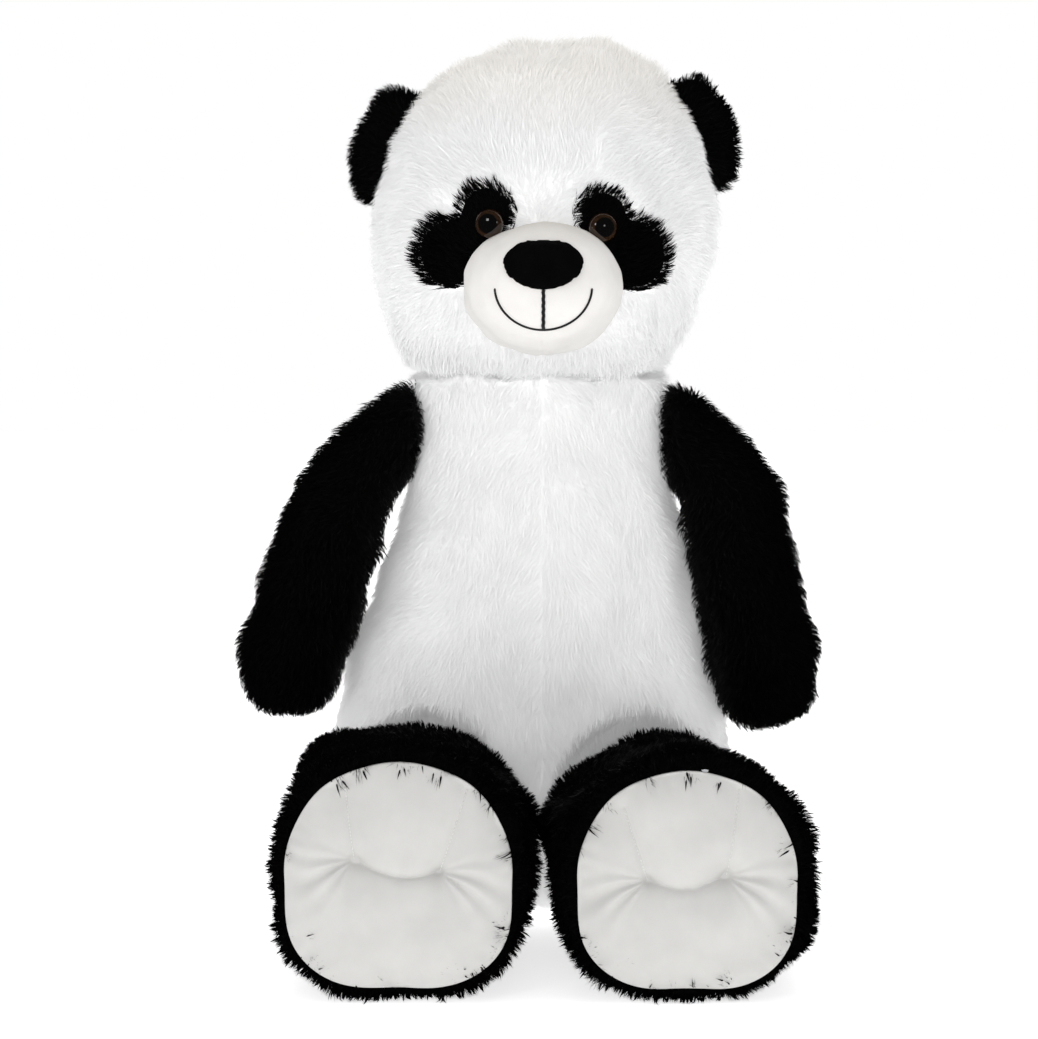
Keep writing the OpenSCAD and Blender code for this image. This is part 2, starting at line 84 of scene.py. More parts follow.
camera_data = bpy.data.cameras.new("camera")
camera_data.lens = 89.3
camera_data.sensor_width = 36.0
camera = bpy.data.objects.new("camera", camera_data)
scene.collection.objects.link(camera)
camera.location = (-0.026, -3.0, 0.68)
camera.rotation_euler = (math.radians(90.0 - 4.54), 0.0, 0.0)
scene.camera = camera


def area_light(name, location, target, size, power, mirrored=True):
    data = bpy.data.lights.new(name, "AREA")
    data.shape = "SQUARE"
    data.size = size
    data.energy = power
    light = bpy.data.objects.new(name, data)
    scene.collection.objects.link(light)
    light.location = location
    toward = Vector(target) - Vector(location)
    light.rotation_euler = toward.to_track_quat("-Z", "Y").to_euler()
    light.visible_glossy = mirrored


MIDDLE = (0.0, -0.1, 0.5)
area_light("key", (-1.4, -2.8, 1.8), MIDDLE, 0.6, 7.0)
area_light("front", (0.1, -3.8, 0.35), (0.0, -0.1, 0.2), 2.4, 39.0, False)
area_light("spark", (1.3, -2.7, 1.2), (0.0, -0.2, 0.8), 0.35, 1.5)
area_light("top", (0.0, 0.0, 3.0), MIDDLE, 2.4, 21.0, False)
area_light("rear", (0.8, 2.8, 1.8), MIDDLE, 2.2, 6.0, False)


def make_world(seen, lit, mirrored):
    """A pale studio: how bright it looks, how much light it gives, and how it reflects."""
    world = bpy.data.worlds.new("studio")
    world.use_nodes = True
    tree = world.node_tree
    background = tree.nodes["Background"]
    background.inputs["Color"].default_value = (1.0, 1.0, 1.0, 1.0)
    path = tree.nodes.new("ShaderNodeLightPath")
    value = lit
    for ray, strength in (("Is Glossy Ray", mirrored), ("Is Camera Ray", seen)):
        blend = tree.nodes.new("ShaderNodeMix")
        blend.inputs["B"].default_value = strength
        if isinstance(value, float):
            blend.inputs["A"].default_value = value
        else:
            tree.links.new(value, blend.inputs["A"])
        tree.links.new(path.outputs[ray], blend.inputs["Factor"])
        value = blend.outputs["Result"]
    tree.links.new(value, background.inputs["Strength"])
    scene.world = world


make_world(1.0, 0.45, 0.05)
scene.view_settings.view_transform = "Standard"


# ---------------------------------------------------------------- material helpers

class Nodes:
    """Short calls that add nodes to one material."""

    def __init__(self, name):
        self.material = bpy.data.materials.new(name)
        self.material.use_nodes = True
        self.tree = self.material.node_tree
        self.shader = self.tree.nodes["Principled BSDF"]
        self.output = self.tree.nodes["Material Output"]

    def set(self, **values):
        for key, value in values.items():
            self.shader.inputs[key.replace("_", " ")].default_value = value
        return self

    def add(self, kind, **settings):
        node = self.tree.nodes.new(kind)
        for key, value in settings.items():
            setattr(node, key, value)
        return node

    def link(self, source, target):
        self.tree.links.new(source, target)

    def coords(self):
        return self.add("ShaderNodeTexCoord").outputs["Object"]

    def attribute(self, name):
        return self.add("ShaderNodeAttribute", attribute_name=name).outputs["Fac"]

    def pattern(self, node, **values):
        """A texture node, laid out on the object's own coordinates."""
        for key, value in values.items():
            node.inputs[key].default_value = value
        self.link(self.coords(), node.inputs["Vector"])
        return node.outputs["Fac"]

    def noise(self, scale, detail=3.0, roughness=0.5):
        node = self.add("ShaderNodeTexNoise")
        return self.pattern(node, Scale=scale, Detail=detail, Roughness=roughness)

    def wave(self, scale, distortion=0.0, direction="X"):
        node = self.add("ShaderNodeTexWave", bands_direction=direction)
        return self.pattern(node, Scale=scale, Distortion=distortion)

    def place(self):
        """The x, y and z of the object's own coordinates."""
        split = self.add("ShaderNodeSeparateXYZ")
        self.link(self.coords(), split.inputs["Vector"])
        return [split.outputs[axis] for axis in "XYZ"]

    def ramp(self, fac, stops):
        node = self.add("ShaderNodeValToRGB")
        ramp = node.color_ramp
        while len(ramp.elements) < len(stops):
            ramp.elements.new(0.5)
        for element, (place, colour) in zip(ramp.elements, stops):
            element.position = place
            element.color = (*colour, 1.0)
        self.link(fac, node.inputs["Fac"])
        return node.outputs["Color"]

    def feed(self, value, socket):
        """Gives a socket a number, a colour or another node's output."""
        if isinstance(value, (int, float)):
            socket.default_value = value
        elif isinstance(value, tuple):
            socket.default_value = (*value, 1.0)
        else:
            self.link(value, socket)

    def mix(self, a, b, fac, how="MIX"):
        node = self.add("ShaderNodeMix", data_type="RGBA", blend_type=how)
        self.feed(fac, node.inputs[0])
        self.feed(a, node.inputs[6])
        self.feed(b, node.inputs[7])
        return node.outputs[2]

    def math(self, how, a, b=0.0):
        node = self.add("ShaderNodeMath", operation=how)
        self.feed(a, node.inputs[0])
        self.feed(b, node.inputs[1])
        return node.outputs[0]

    def weigh(self, a, share_a, b, share_b):
        return self.math("ADD", self.math("MULTIPLY", a, share_a), self.math("MULTIPLY", b, share_b))

    def radius(self, x, y):
        squares = [self.math("MULTIPLY", v, v) for v in (x, y)]
        return self.math("SQRT", self.math("ADD", *squares))

    def grey(self, fac, low, high):
        node = self.add("ShaderNodeMapRange")
        node.inputs["To Min"].default_value = low
        node.inputs["To Max"].default_value = high
        self.link(fac, node.inputs["Value"])
        return node.outputs["Result"]

    def bump(self, height, strength, distance):
        node = self.add("ShaderNodeBump")
        node.inputs["Strength"].default_value = strength
        node.inputs["Distance"].default_value = distance
        self.link(height, node.inputs["Height"])
        self.link(node.outputs["Normal"], self.shader.inputs["Normal"])

    def colour(self, socket):
        self.link(socket, self.shader.inputs["Base Color"])

    def roughness(self, socket):
        self.link(socket, self.shader.inputs["Roughness"])


def plain(name, colour, roughness):
    """The single colour that a mesh keeps for viewers that can't show its nodes."""
    n = Nodes(name + "_plain")
    n.set(Base_Color=(*colour, 1.0), Roughness=roughness)
    return n.material


# Painted shade: the pile of the head is made a little less white than the torso's, to hold back the stronger
# light where the head stands nearer the key light
HEAD_PAINTED_SHADE = (0.91, 0.912, 0.912)


def fur_material(name, root, middle, tip, tint_low, tint_high, rough, gloss, painted_glow=0.0, crown=None):
    """Pile: its colour runs along the hair, darker at the root as painted shade, and each clump is a little
    different.
    """
    n = Nodes(name)
    along = n.attribute("along")
    # Painted shade: the colour runs darker towards the root, where the hairs shade each other
    base = n.ramp(along, [(0.0, root), (0.45, middle), (1.0, tip)])
    patches = n.noise(9.0, 2.0)
    lock = n.attribute("tint")
    tint = n.weigh(lock, 0.65, patches, 0.35)
    shade = n.ramp(tint, [(0.0, tint_low), (1.0, tint_high)])
    colour = n.mix(base, shade, 1.0, "MULTIPLY")
    if crown:
        # Painted shade: from the neck up the pile is darkened a little; the crown gets a cream tint
        height = n.math("ADD", n.place()[2], n.math("MULTIPLY", n.noise(14.0), 0.06))
        high = n.ramp(n.math("MULTIPLY", n.math("SUBTRACT", height, 0.55), 2.2),
                      [(0.12, (1.0, 1.0, 1.0)), (0.27, HEAD_PAINTED_SHADE), (0.78, HEAD_PAINTED_SHADE), (0.95, crown)])
        colour = n.mix(colour, high, 1.0, "MULTIPLY")
    n.colour(colour)
    n.roughness(n.grey(lock, rough - 0.08, rough + 0.08))
    n.set(Specular_IOR_Level=gloss)
    # Painted light: the pile gives off a little light in its own colour, which lifts the shade between the
    # strands
    if painted_glow:
        n.link(colour, n.shader.inputs["Emission Color"])
        n.set(Emission_Strength=painted_glow)
    return n.material


def backing_material(name, dark, light, painted_glow=0.0):
    """Knitted backing cloth under the pile."""
    n = Nodes(name)
    knit = n.wave(900.0, distortion=1.5, direction="Z")
    spots = n.noise(350.0, 2.0)
    n.colour(n.mix(n.ramp(spots, [(0.3, dark), (0.7, light)]), light, n.math("MULTIPLY", knit, 0.3)))
    n.roughness(n.grey(spots, 0.8, 0.95))
    n.bump(knit, 0.3, 0.0004)
    # Painted light: the backing gives off a little light in its own colour, by the given strength
    n.set(Specular_IOR_Level=0.1, Emission_Color=(*light, 1.0), Emission_Strength=painted_glow)
    return n.material


def velour_material(name, dark, light, rough, bridge=None):
    """Short-pile fleece: fine nap with brushed patches."""
    n = Nodes(name)
    fine = n.noise(1500.0, roughness=0.7)
    brushed = n.noise(38.0)
    fac = n.weigh(fine, 0.45, brushed, 0.55)
    colour = n.ramp(fac, [(0.3, dark), (0.72, light)])
    if bridge:
        high = n.ramp(n.math("MULTIPLY", n.math("SUBTRACT", n.place()[2], BRIDGE_Z), 16.0),
                      [(0.0, (1.0, 1.0, 1.0)), (1.0, bridge)])
        colour = n.mix(colour, high, 1.0, "MULTIPLY")
    n.colour(colour)
    n.roughness(n.grey(fine, rough - 0.07, rough + 0.07))
    n.bump(fac, 0.25, 0.0005)
    n.set(Specular_IOR_Level=0.02)
    return n.material


def simple_material(name, pattern, stops, rough, bump, **values):
    """One pattern drives the colour, the roughness and the bump."""
    n = Nodes(name)
    fac = pattern(n)
    n.colour(n.ramp(fac, stops))
    n.roughness(n.grey(fac, *rough))
    n.bump(fac, *bump)
    n.set(**values)
    return n.material


def thread_material(name, dark, light, rough):
    return simple_material(
        name, lambda n: n.wave(1400.0, 2.0, "DIAGONAL"), [(0.1, dark), (0.9, light)],
        (rough - 0.1, rough + 0.1), (0.4, 0.0002), Sheen_Weight=0.15,
    )


BRIDGE_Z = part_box("nose_cover")[1].z - 0.012
# The white pile and the white backing glow a little, as painted light
WHITE_FUR = fur_material(
    "white_pile", (0.9, 0.9, 0.9), (0.965, 0.965, 0.963), (0.985, 0.985, 0.982),
    (0.95, 0.952, 0.96), (1.0, 1.0, 1.0), 0.8, 0.15, 0.23, (0.92, 0.897, 0.857),
)
BLACK_FUR = fur_material(
    "black_pile", (0.0004, 0.0004, 0.0004), (0.0011, 0.0011, 0.0012), (0.003, 0.0028, 0.0029),
    (0.55, 0.55, 0.58), (1.0, 0.98, 0.96), 0.55, 0.12,
)
WHITE_BACKING = backing_material("white_backing", (0.86, 0.86, 0.86), (0.95, 0.95, 0.95), 0.23)
BLACK_BACKING = backing_material(
    "black_backing", (0.0006, 0.0006, 0.0006), (0.002, 0.002, 0.002)
)
MUZZLE_VELOUR = velour_material(
    "muzzle_velour", (0.75, 0.73, 0.705), (0.83, 0.815, 0.795), 0.82, (0.8, 0.775, 0.71)
)
SOLE_VELOUR = velour_material("sole_velour", (0.54, 0.535, 0.523), (0.61, 0.605, 0.59), 0.85)
NOSE_VELOUR = velour_material("nose_velour", (0.001, 0.001, 0.001), (0.0028, 0.0028, 0.0028), 0.8)
BLACK_THREAD = thread_material("black_thread", (0.002, 0.002, 0.002), (0.015, 0.015, 0.015), 0.5)
WHITE_THREAD = thread_material("white_thread", (0.72, 0.72, 0.7), (0.92, 0.92, 0.9), 0.6)
SOLE_THREAD = thread_material("sole_thread", (0.62, 0.615, 0.6), (0.78, 0.775, 0.76), 0.7)
FIBRE = simple_material(
    "fibre_fill", lambda n: n.noise(120.0, 5.0, 0.75),
    [(0.3, (0.74, 0.76, 0.8)), (0.7, (0.93, 0.94, 0.96))], (0.85, 0.98), (0.8, 0.003), Sheen_Weight=0.3,
)
SATIN = simple_material(
    "label_satin", lambda n: n.wave(1100.0, direction="Z"),
    [(0.2, (0.78, 0.78, 0.77)), (0.8, (0.93, 0.93, 0.92))], (0.3, 0.45), (0.2, 0.0001),
)
WASHER_PLASTIC = simple_material(
    "washer_plastic", lambda n: n.noise(600.0),
    [(0.3, (0.72, 0.72, 0.7)), (0.7, (0.82, 0.82, 0.8))], (0.35, 0.5), (0.1, 0.0001),
)
PLAINS = {
    "white": plain("white_pile", (0.9, 0.9, 0.895), 0.85),
    "black": plain("black_pile", (0.01, 0.01, 0.011), 0.6),
}
PILE_MATERIALS = {"white": (WHITE_BACKING, WHITE_FUR), "black": (BLACK_BACKING, BLACK_FUR)}


# ---------------------------------------------------------------- mesh helpers

def link_mesh(name, mesh):
    ob = bpy.data.objects.new(name, mesh)
    scene.collection.objects.link(ob)
    return ob


@contextmanager
def editing(mesh):
    """The mesh as a bmesh, which is written back at the end."""
    bm = bmesh.new()
    bm.from_mesh(mesh)
    yield bm
    bm.to_mesh(mesh)
    bm.free()


def from_nodes(name, *nodes):
    """A new object that holds the meshes of these CAD nodes."""
    mesh = bpy.data.meshes.new(name)
    with editing(mesh) as bm:
        for node in nodes:
            bm.from_mesh(frame["nodes"][node].data)
    mesh.materials.clear()
    return link_mesh(name, mesh)


def add_modifier(ob, kind, **settings):
    modifier = ob.modifiers.new(kind.lower(), kind)
    for key, value in settings.items():
        setattr(modifier, key, value)
    return modifier


def smooth(ob):
    ob.data.polygons.foreach_set("use_smooth", np.ones(len(ob.data.polygons), bool))
    ob.data.update()
    return ob


def ring_faces(rings, turns):
    """Quads between closed rings of points that follow each other, turns points in each."""
    return [
        (i * turns + k, i * turns + (k + 1) % turns,
         (i + 1) * turns + (k + 1) % turns, (i + 1) * turns + k)
        for i in range(rings - 1) for k in range(turns)
    ]


def closed_mesh(name, co, faces):
    """A new smooth object, with its meeting points joined and its faces turned outward."""
    mesh = bpy.data.meshes.new(name)
    mesh.from_pydata([tuple(point) for point in co], [], faces)
    with editing(mesh) as bm:
        bmesh.ops.remove_doubles(bm, verts=bm.verts, dist=1e-7)
        bmesh.ops.recalc_face_normals(bm, faces=bm.faces)
    return smooth(link_mesh(name, mesh))


def apply_modifiers(ob):
    graph = bpy.context.evaluated_depsgraph_get()
    graph.update()
    mesh = bpy.data.meshes.new_from_object(ob.evaluated_get(graph), depsgraph=graph)
    ob.modifiers.clear()
    old = ob.data
    ob.data = mesh
    bpy.data.meshes.remove(old)


def largest_part(ob):
    """Drops every loose part but the one with the biggest box."""
    def span(part):
        xyz = np.array([v.co for v in part])
        return float((xyz.max(0) - xyz.min(0)).sum())

    with editing(ob.data) as bm:
        left = set(bm.verts)
        parts = []
        while left:
            part = {left.pop()}
            front = list(part)
            while front:
                v = front.pop()
                found = {edge.other_vert(v) for edge in v.link_edges} & left
                left -= found
                part |= found
                front += found
            parts.append(part)
        keep = max(parts, key=span)
        bmesh.ops.delete(bm, geom=[v for v in bm.verts if v not in keep], context="VERTS")


def remesh(ob, voxel, smooth_steps):
    """One closed even mesh of quads around everything in ob."""
    add_modifier(ob, "REMESH", mode="VOXEL", voxel_size=voxel, adaptivity=0.0)
    apply_modifiers(ob)
    largest_part(ob)
    add_modifier(ob, "SMOOTH", factor=0.5, iterations=smooth_steps)
    apply_modifiers(ob)


def read(items, key):
    values = np.empty(len(items) * 3, np.float32)
    items.foreach_get(key, values)
    return values.reshape(-1, 3).astype(float)


def vertices(ob):
    return read(ob.data.vertices, "co")


def vertex_normals(ob):
    return read(ob.data.vertex_normals, "vector")


def set_vertices(ob, co):
    ob.data.vertices.foreach_set("co", co.astype(np.float32).ravel())
    ob.data.update()


def unit(v):
    return v / np.maximum(np.linalg.norm(v, axis=-1, keepdims=True), 1e-9)


def waves(points, size, seed, channels=1, count=28):
    """Smooth noise of about -1 to 1, whose lumps are about size metres apart."""
    rng = np.random.default_rng(seed)
    out = np.zeros((len(points), channels))
    for _ in range(count):
        way = unit(rng.normal(size=3)) * 2.0 * math.pi / size * rng.uniform(0.55, 1.5)
        phase = rng.uniform(0.0, 2.0 * math.pi, channels)
        out += np.sin((points @ way)[:, None] + phase)
    out *= 1.25 / math.sqrt(count)
    return out[:, 0] if channels == 1 else out


def inset(ob, distance):
    set_vertices(ob, vertices(ob) - vertex_normals(ob) * distance)


def lumps(ob, size, depth, seed):
    co = vertices(ob)
    set_vertices(ob, co + vertex_normals(ob) * (waves(co, size, seed) * depth)[:, None])


CLOTH = {
    "quality": 5, "mass": 0.25, "tension_stiffness": 12.0, "compression_stiffness": 12.0,
    "shear_stiffness": 6.0, "bending_stiffness": 0.4, "use_pressure": True,
    "uniform_pressure_force": 4.0, "shrink_min": 0.0,
}
PUFF_STEPS = 20


def puff(ob, cap):
    """Fills ob with air in a cloth simulation, moves no point further than cap, and keeps it."""
    before = vertices(ob)
    modifier = add_modifier(ob, "CLOTH")
    for key, value in CLOTH.items():
        setattr(modifier.settings, key, value)
    modifier.settings.effector_weights.gravity = 0.0
    modifier.collision_settings.use_collision = False
    modifier.point_cache.frame_start = 1
    modifier.point_cache.frame_end = PUFF_STEPS
    for step in range(1, PUFF_STEPS + 1):
        scene.frame_set(step)
    apply_modifiers(ob)
    scene.frame_set(1)
    move = vertices(ob) - before
    reach = np.linalg.norm(move, axis=1, keepdims=True)
    set_vertices(ob, before + move * np.minimum(1.0, cap / np.maximum(reach, 1e-9)))


class Skin:
    """The arrays of a closed mesh that pile grows on."""

    def __init__(self, ob):
        mesh = ob.data
        self.co = vertices(ob)
        self.normals = unit(vertex_normals(ob))
        mesh.calc_loop_triangles()
        tris = np.empty(len(mesh.loop_triangles) * 3, np.int32)
        mesh.loop_triangles.foreach_get("vertices", tris)
        self.tris = tris.reshape(-1, 3)
        self.faces = [tuple(p.vertices) for p in mesh.polygons]
        self.tree = BVHTree.FromPolygons([tuple(v) for v in self.co], self.faces)

    def near(self, points, reach):
        low, high = self.co.min(0) - reach, self.co.max(0) + reach
        return np.nonzero(((points > low) & (points < high)).all(1))[0]

    def room(self, roots, normals, reach):
        """Free space above each root, up to reach, before this surface."""
        free = np.full(len(roots), reach)
        for i in self.near(roots, reach):
            distance = self.tree.ray_cast(Vector(roots[i]), Vector(normals[i]), reach)[3]
            if distance is not None:
                free[i] = distance
        return free

    def buries(self, points, depth):
        """True where a point lies deeper than depth inside this surface."""
        inside = np.zeros(len(points), bool)
        for i in self.near(points, 0.0):
            place, out, _, distance = self.tree.find_nearest(Vector(points[i]))
            inside[i] = distance > depth and (Vector(points[i]) - place).dot(out) < 0
        return inside

    def sample(self, per_m2, rng):
        """Points spread evenly over the skin, with their normals."""
        a, b, c = (self.co[self.tris[:, k]] for k in range(3))
        area = np.linalg.norm(np.cross(b - a, c - a), axis=1) / 2
        total = np.cumsum(area)
        n = int(total[-1] * per_m2)
        place = (np.arange(n) + rng.random(n)) * total[-1] / n
        tri = np.minimum(np.searchsorted(total, place), len(area) - 1)
        u, v = rng.random(n), rng.random(n)
        flip = u + v > 1
        u[flip], v[flip] = 1 - u[flip], 1 - v[flip]
        weights = np.stack([1 - u - v, u, v], 1)[:, :, None]
        corners = self.tris[tri]
        return (
            (self.co[corners] * weights).sum(1),
            unit((self.normals[corners] * weights).sum(1)),
        )


def add_block(blocks, co, normals, quads, tris, slot, along=None, tint=None):
    """Adds faces to the arrays that make_mesh joins."""
    start = sum(map(len, blocks["co"]))
    count = len(co)
    quads = np.asarray(quads, np.int64).reshape(-1, 4) + start
    tris = np.asarray(tris, np.int64).reshape(-1, 3) + start
    for key, values in {
        "co": co, "normals": normals, "quads": quads, "tris": tris,
        "quad_slots": np.full(len(quads), slot), "tri_slots": np.full(len(tris), slot),
        "along": np.zeros(count) if along is None else along,
        "tint": np.full(count, 0.5) if tint is None else tint,
    }.items():
        blocks[key].append(values)


def make_mesh(name, blocks):
    co, quads, tris = (np.concatenate(blocks[key]) for key in ("co", "quads", "tris"))
    slots = np.concatenate(blocks["quad_slots"] + blocks["tri_slots"])
    mesh = bpy.data.meshes.new(name)
    mesh.vertices.add(len(co))
    mesh.vertices.foreach_set("co", co.astype(np.float32).ravel())
    loops = np.concatenate([quads.ravel(), tris.ravel()]).astype(np.int32)
    totals = np.concatenate([np.full(len(quads), 4), np.full(len(tris), 3)]).astype(np.int32)
    starts = np.concatenate([[0], np.cumsum(totals)[:-1]]).astype(np.int32)
    mesh.loops.add(len(loops))
    mesh.loops.foreach_set("vertex_index", loops)
    mesh.polygons.add(len(totals))
    mesh.polygons.foreach_set("loop_start", starts)
    mesh.polygons.foreach_set("loop_total", totals)
    mesh.polygons.foreach_set("material_index", slots.astype(np.int32))
    mesh.polygons.foreach_set("use_smooth", np.ones(len(totals), bool))
    for key in ("along", "tint"):
        attribute = mesh.attributes.new(key, "FLOAT", "POINT")
        attribute.data.foreach_set("value", np.concatenate(blocks[key]).astype(np.float32))
    mesh.update(calc_edges=True)
    attribute = mesh.attributes.new("custom_normal", "FLOAT_VECTOR", "POINT")
    normals = np.concatenate(blocks["normals"]).astype(np.float32)
    attribute.data.foreach_set("vector", normals.ravel())
    mesh.update()
    return mesh


def even_rim(co, rim, rounds=6):
    """Straightens the steps in an edge of cloth: its points move towards their neighbours."""
    for _ in range(rounds):
        total, count = np.zeros_like(co), np.zeros((len(co), 1))
        for k in range(2):
            np.add.at(total, rim[:, k], co[rim[:, 1 - k]])
            np.add.at(count, rim[:, k], 1)
        edge = count[:, 0] > 0
        co[edge] = (co[edge] + total[edge] / count[edge]) / 2
    return co


def add_cloth(blocks, skin, keep, rise):
    """The part of a skin where keep(face centres) is true, as cloth that stands rise above it."""
    quads = np.array([f for f in skin.faces if len(f) == 4])
    quads = quads[keep(skin.co[quads].mean(1))]
    used = np.unique(quads)
    number = np.zeros(len(skin.co), np.int64)
    number[used] = np.arange(len(used))
    outer = number[quads]
    n = len(used)
    edges = np.concatenate([outer[:, [k, (k + 1) % 4]] for k in range(4)])
    keys = np.sort(edges, axis=1)
    keys = keys[:, 0] * n + keys[:, 1]
    _, first, counts = np.unique(keys, return_index=True, return_counts=True)
    rim = edges[first[counts == 1]]
    walls = np.stack([rim[:, 1], rim[:, 0], rim[:, 0] + n, rim[:, 1] + n], 1)
    top = skin.co[used] + skin.normals[used] * rise
    if rise:
        top = even_rim(top, rim)
    co = np.concatenate([top, top - skin.normals[used] * CLOTH_THICKNESS])
    normals = np.concatenate([skin.normals[used], -skin.normals[used]])
    add_block(blocks, co, normals, np.concatenate([outer, outer[:, ::-1] + n, walls]), [], 0)


def nearest(points, centres):
    tree = KDTree(len(centres))
    for i, c in enumerate(centres):
        tree.insert(c, i)
    tree.balance()
    return np.array([tree.find(p)[1] for p in points], np.int64)


FLOOR_CLEAR = 0.0008


class Strands:
    """Places of many strands that lean along comb and gather in clumps."""

    def __init__(self, roots, normals, comb, length, rng, look, loose):
        def flat(v):
            return unit(v - normals * (v * normals).sum(1, keepdims=True))

        n = len(roots)
        comb = flat(flat(comb) + loose * look["stray"] * rng.normal(size=(n, 3)))
        size = length * rng.uniform(0.78, 1.12, n) * (1 + 0.14 * waves(roots, 0.045, SEED + 3))
        lift = np.minimum(0.98, look["lift"] * rng.uniform(0.78, 1.25, n))
        lie = np.sqrt(1 - lift * lift)
        tips = roots + (normals * lift[:, None] + comb * lie[:, None]) * size[:, None]
        step = look["clump_size"]
        first = np.unique(np.floor(roots / step).astype(int), axis=0, return_index=True)[1]
        clump = nearest(roots, roots[first])
        heart = roots[first][clump]
        pull = look["clump"] * rng.uniform(0.35, 1.0, n)
        tips = tips + (tips[first][clump] - tips) * pull[:, None]
        self.count, self.roots, self.normals, self.comb = n, roots, normals, comb
        self.side, self.size, self.tips = np.cross(normals, comb), size, tips
        self.tint = 0.7 * rng.random(len(first))[clump] + 0.3 * rng.random(n)
        self.slope = normals * look["soft"] + comb * 0.15 + (roots - heart) / step * look["relief"]

    def add(self, blocks, parts, own, along, quads, tris, look):
        """One closed strand for each place: parts are its corners, own their plain normals."""
        corners = len(parts)
        co = np.stack(parts, 1)
        co[:, :, 2] = np.maximum(co[:, :, 2], FLOOR_CLEAR)
        first = np.arange(self.count)[:, None] * corners
        shade = unit(np.stack([self.slope + o * (1 - look["soft"]) for o in own], 1))
        add_block(
            blocks, co.reshape(-1, 3), shade.reshape(-1, 3),
            np.concatenate([first + np.array(q) for q in quads]) if quads else [],
            np.concatenate([first + np.array(t) for t in tris]), 1,
            np.tile(along, self.count), np.repeat(self.tint, corners),
        )


def add_locks(blocks, roots, normals, comb, length, width, rng, look):
    """Bent locks of pile: closed three-sided blades."""
    s = Strands(roots, normals, comb, length, rng, look, 1.0)
    half = width * rng.uniform(0.7, 1.3, s.count)[:, None]
    thick = half * 0.6
    base = roots - normals * 0.0012
    middles = roots + (s.tips - roots) * 0.5 + normals * (s.size * look["arch"])[:, None]
    up = unit(np.cross(s.tips - roots, s.side))
    up = up * np.sign((up * normals).sum(1, keepdims=True) + 1e-9)
    ring = [(-1.0, -0.5), (1.0, -0.5), (0.0, 1.0)]
    parts = [base + s.side * half * a - s.comb * thick * b for a, b in ring]
    parts += [middles + s.side * half * 0.85 * a + up * thick * b for a, b in ring]
    parts.append(s.tips)
    own = [s.side * a * 0.8 + up * b for a, b in ring] * 2 + [up]
    s.add(blocks, parts, own, [0.0, 0.0, 0.0, 0.5, 0.5, 0.5, 1.0],
          ((0, 1, 4, 3), (1, 2, 5, 4), (2, 0, 3, 5)),
          ((3, 4, 6), (4, 5, 6), (5, 3, 6), (0, 2, 1)), look)


def add_hairs(blocks, roots, normals, comb, length, width, rng, look):
    """Fine strands between the locks, each a closed spike."""
    s = Strands(roots, normals, comb, length, rng, look, 1.4)
    half = width * rng.uniform(0.7, 1.3, s.count)[:, None]
    base = roots - normals * 0.001
    parts = [base - s.side * half + s.comb * half * 0.5, base + s.side * half + s.comb * half * 0.5,
             base - s.comb * half, s.tips]
    s.add(blocks, parts, (-s.side, s.side, normals, normals), [0.0, 0.0, 0.0, 1.0],
          (), ((0, 1, 3), (1, 2, 3), (2, 0, 3), (0, 2, 1)), look)


# How the pile lies: lift is its height over its length, stray how far hairs part, clump how
# closely tips meet, clump_size how far apart clumps are, arch how much a lock bends, soft how
# evenly the light falls on it and relief how round a clump looks. The last two count per m2.
LOOKS = {
    "white": {"lift": 0.46, "stray": 0.17, "clump": 0.5, "clump_size": 0.0075, "arch": 0.1,
              "length": 0.019, "width": 0.0009, "soft": 0.94, "relief": 0.28,
              "locks": 14000, "hairs": 215000},
    "black": {"lift": 0.62, "stray": 0.26, "clump": 0.6, "clump_size": 0.009, "arch": 0.12,
              "length": 0.016, "width": 0.001, "soft": 0.5, "relief": 0.3,
              "locks": 30000, "hairs": 190000},
}
HAIR_WIDTH = 0.00042
CLOTH_THICKNESS = 0.0018
DRAFT = 1.0


def grow(skin, kind, seed, lay, panels, rise=0.0, cloth=None, **changes):
    """Pile over a skin, shared out to the CAD nodes that panels names. lay(roots, normals) gives
    the way the pile is combed and its length, where 0 is bare. cloth says where their cloth is,
    if that isn't the whole panel. Yields each new object with its node."""
    look = {**LOOKS[kind], **changes}
    rng = np.random.default_rng(seed)
    sets = []
    for add, density, width in (
        (add_locks, look["locks"], look["width"]),
        (add_hairs, look["hairs"], HAIR_WIDTH),
    ):
        roots, normals = skin.sample(density * DRAFT, rng)
        comb, reach = lay(roots, normals)
        keep = reach > 0.05
        sets.append((add, roots[keep], normals[keep], comb[keep], reach[keep] * look["length"], width))
    for number, (node, inside) in enumerate(panels.items()):
        name = node.removesuffix("_panel") + "_plush"
        blocks = defaultdict(list)
        add_cloth(blocks, skin, cloth or inside, rise)
        for add, roots, normals, comb, reach, width in sets:
            k = inside(roots)
            strand_rng = np.random.default_rng(seed * 31 + number)
            add(blocks, roots[k], normals[k], comb[k], reach[k], width, strand_rng, look)
        ob = link_mesh(name, make_mesh(name, blocks))
        for material in PILE_MATERIALS[kind]:
            ob.data.materials.append(PLAINS[kind])
            dress(ob.material_slots[-1], material)
        yield ob, node


def dress(slot, material):
    """Gives a slot a material on the object, over the one that the mesh keeps."""
    slot.link = "OBJECT"
    slot.material = material


def fit(ob, low, high):
    """Stretches ob to fill a box again after smoothing has shrunk it."""
    co = vertices(ob)
    set_vertices(ob, low + (co - co.min(0)) / (co.max(0) - co.min(0)) * (high - low))


def finish_piece(ob, body, nodes=()):
    if body:
        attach(ob, body)
    if nodes:
        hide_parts(*nodes)


# ---------------------------------------------------------------- floor

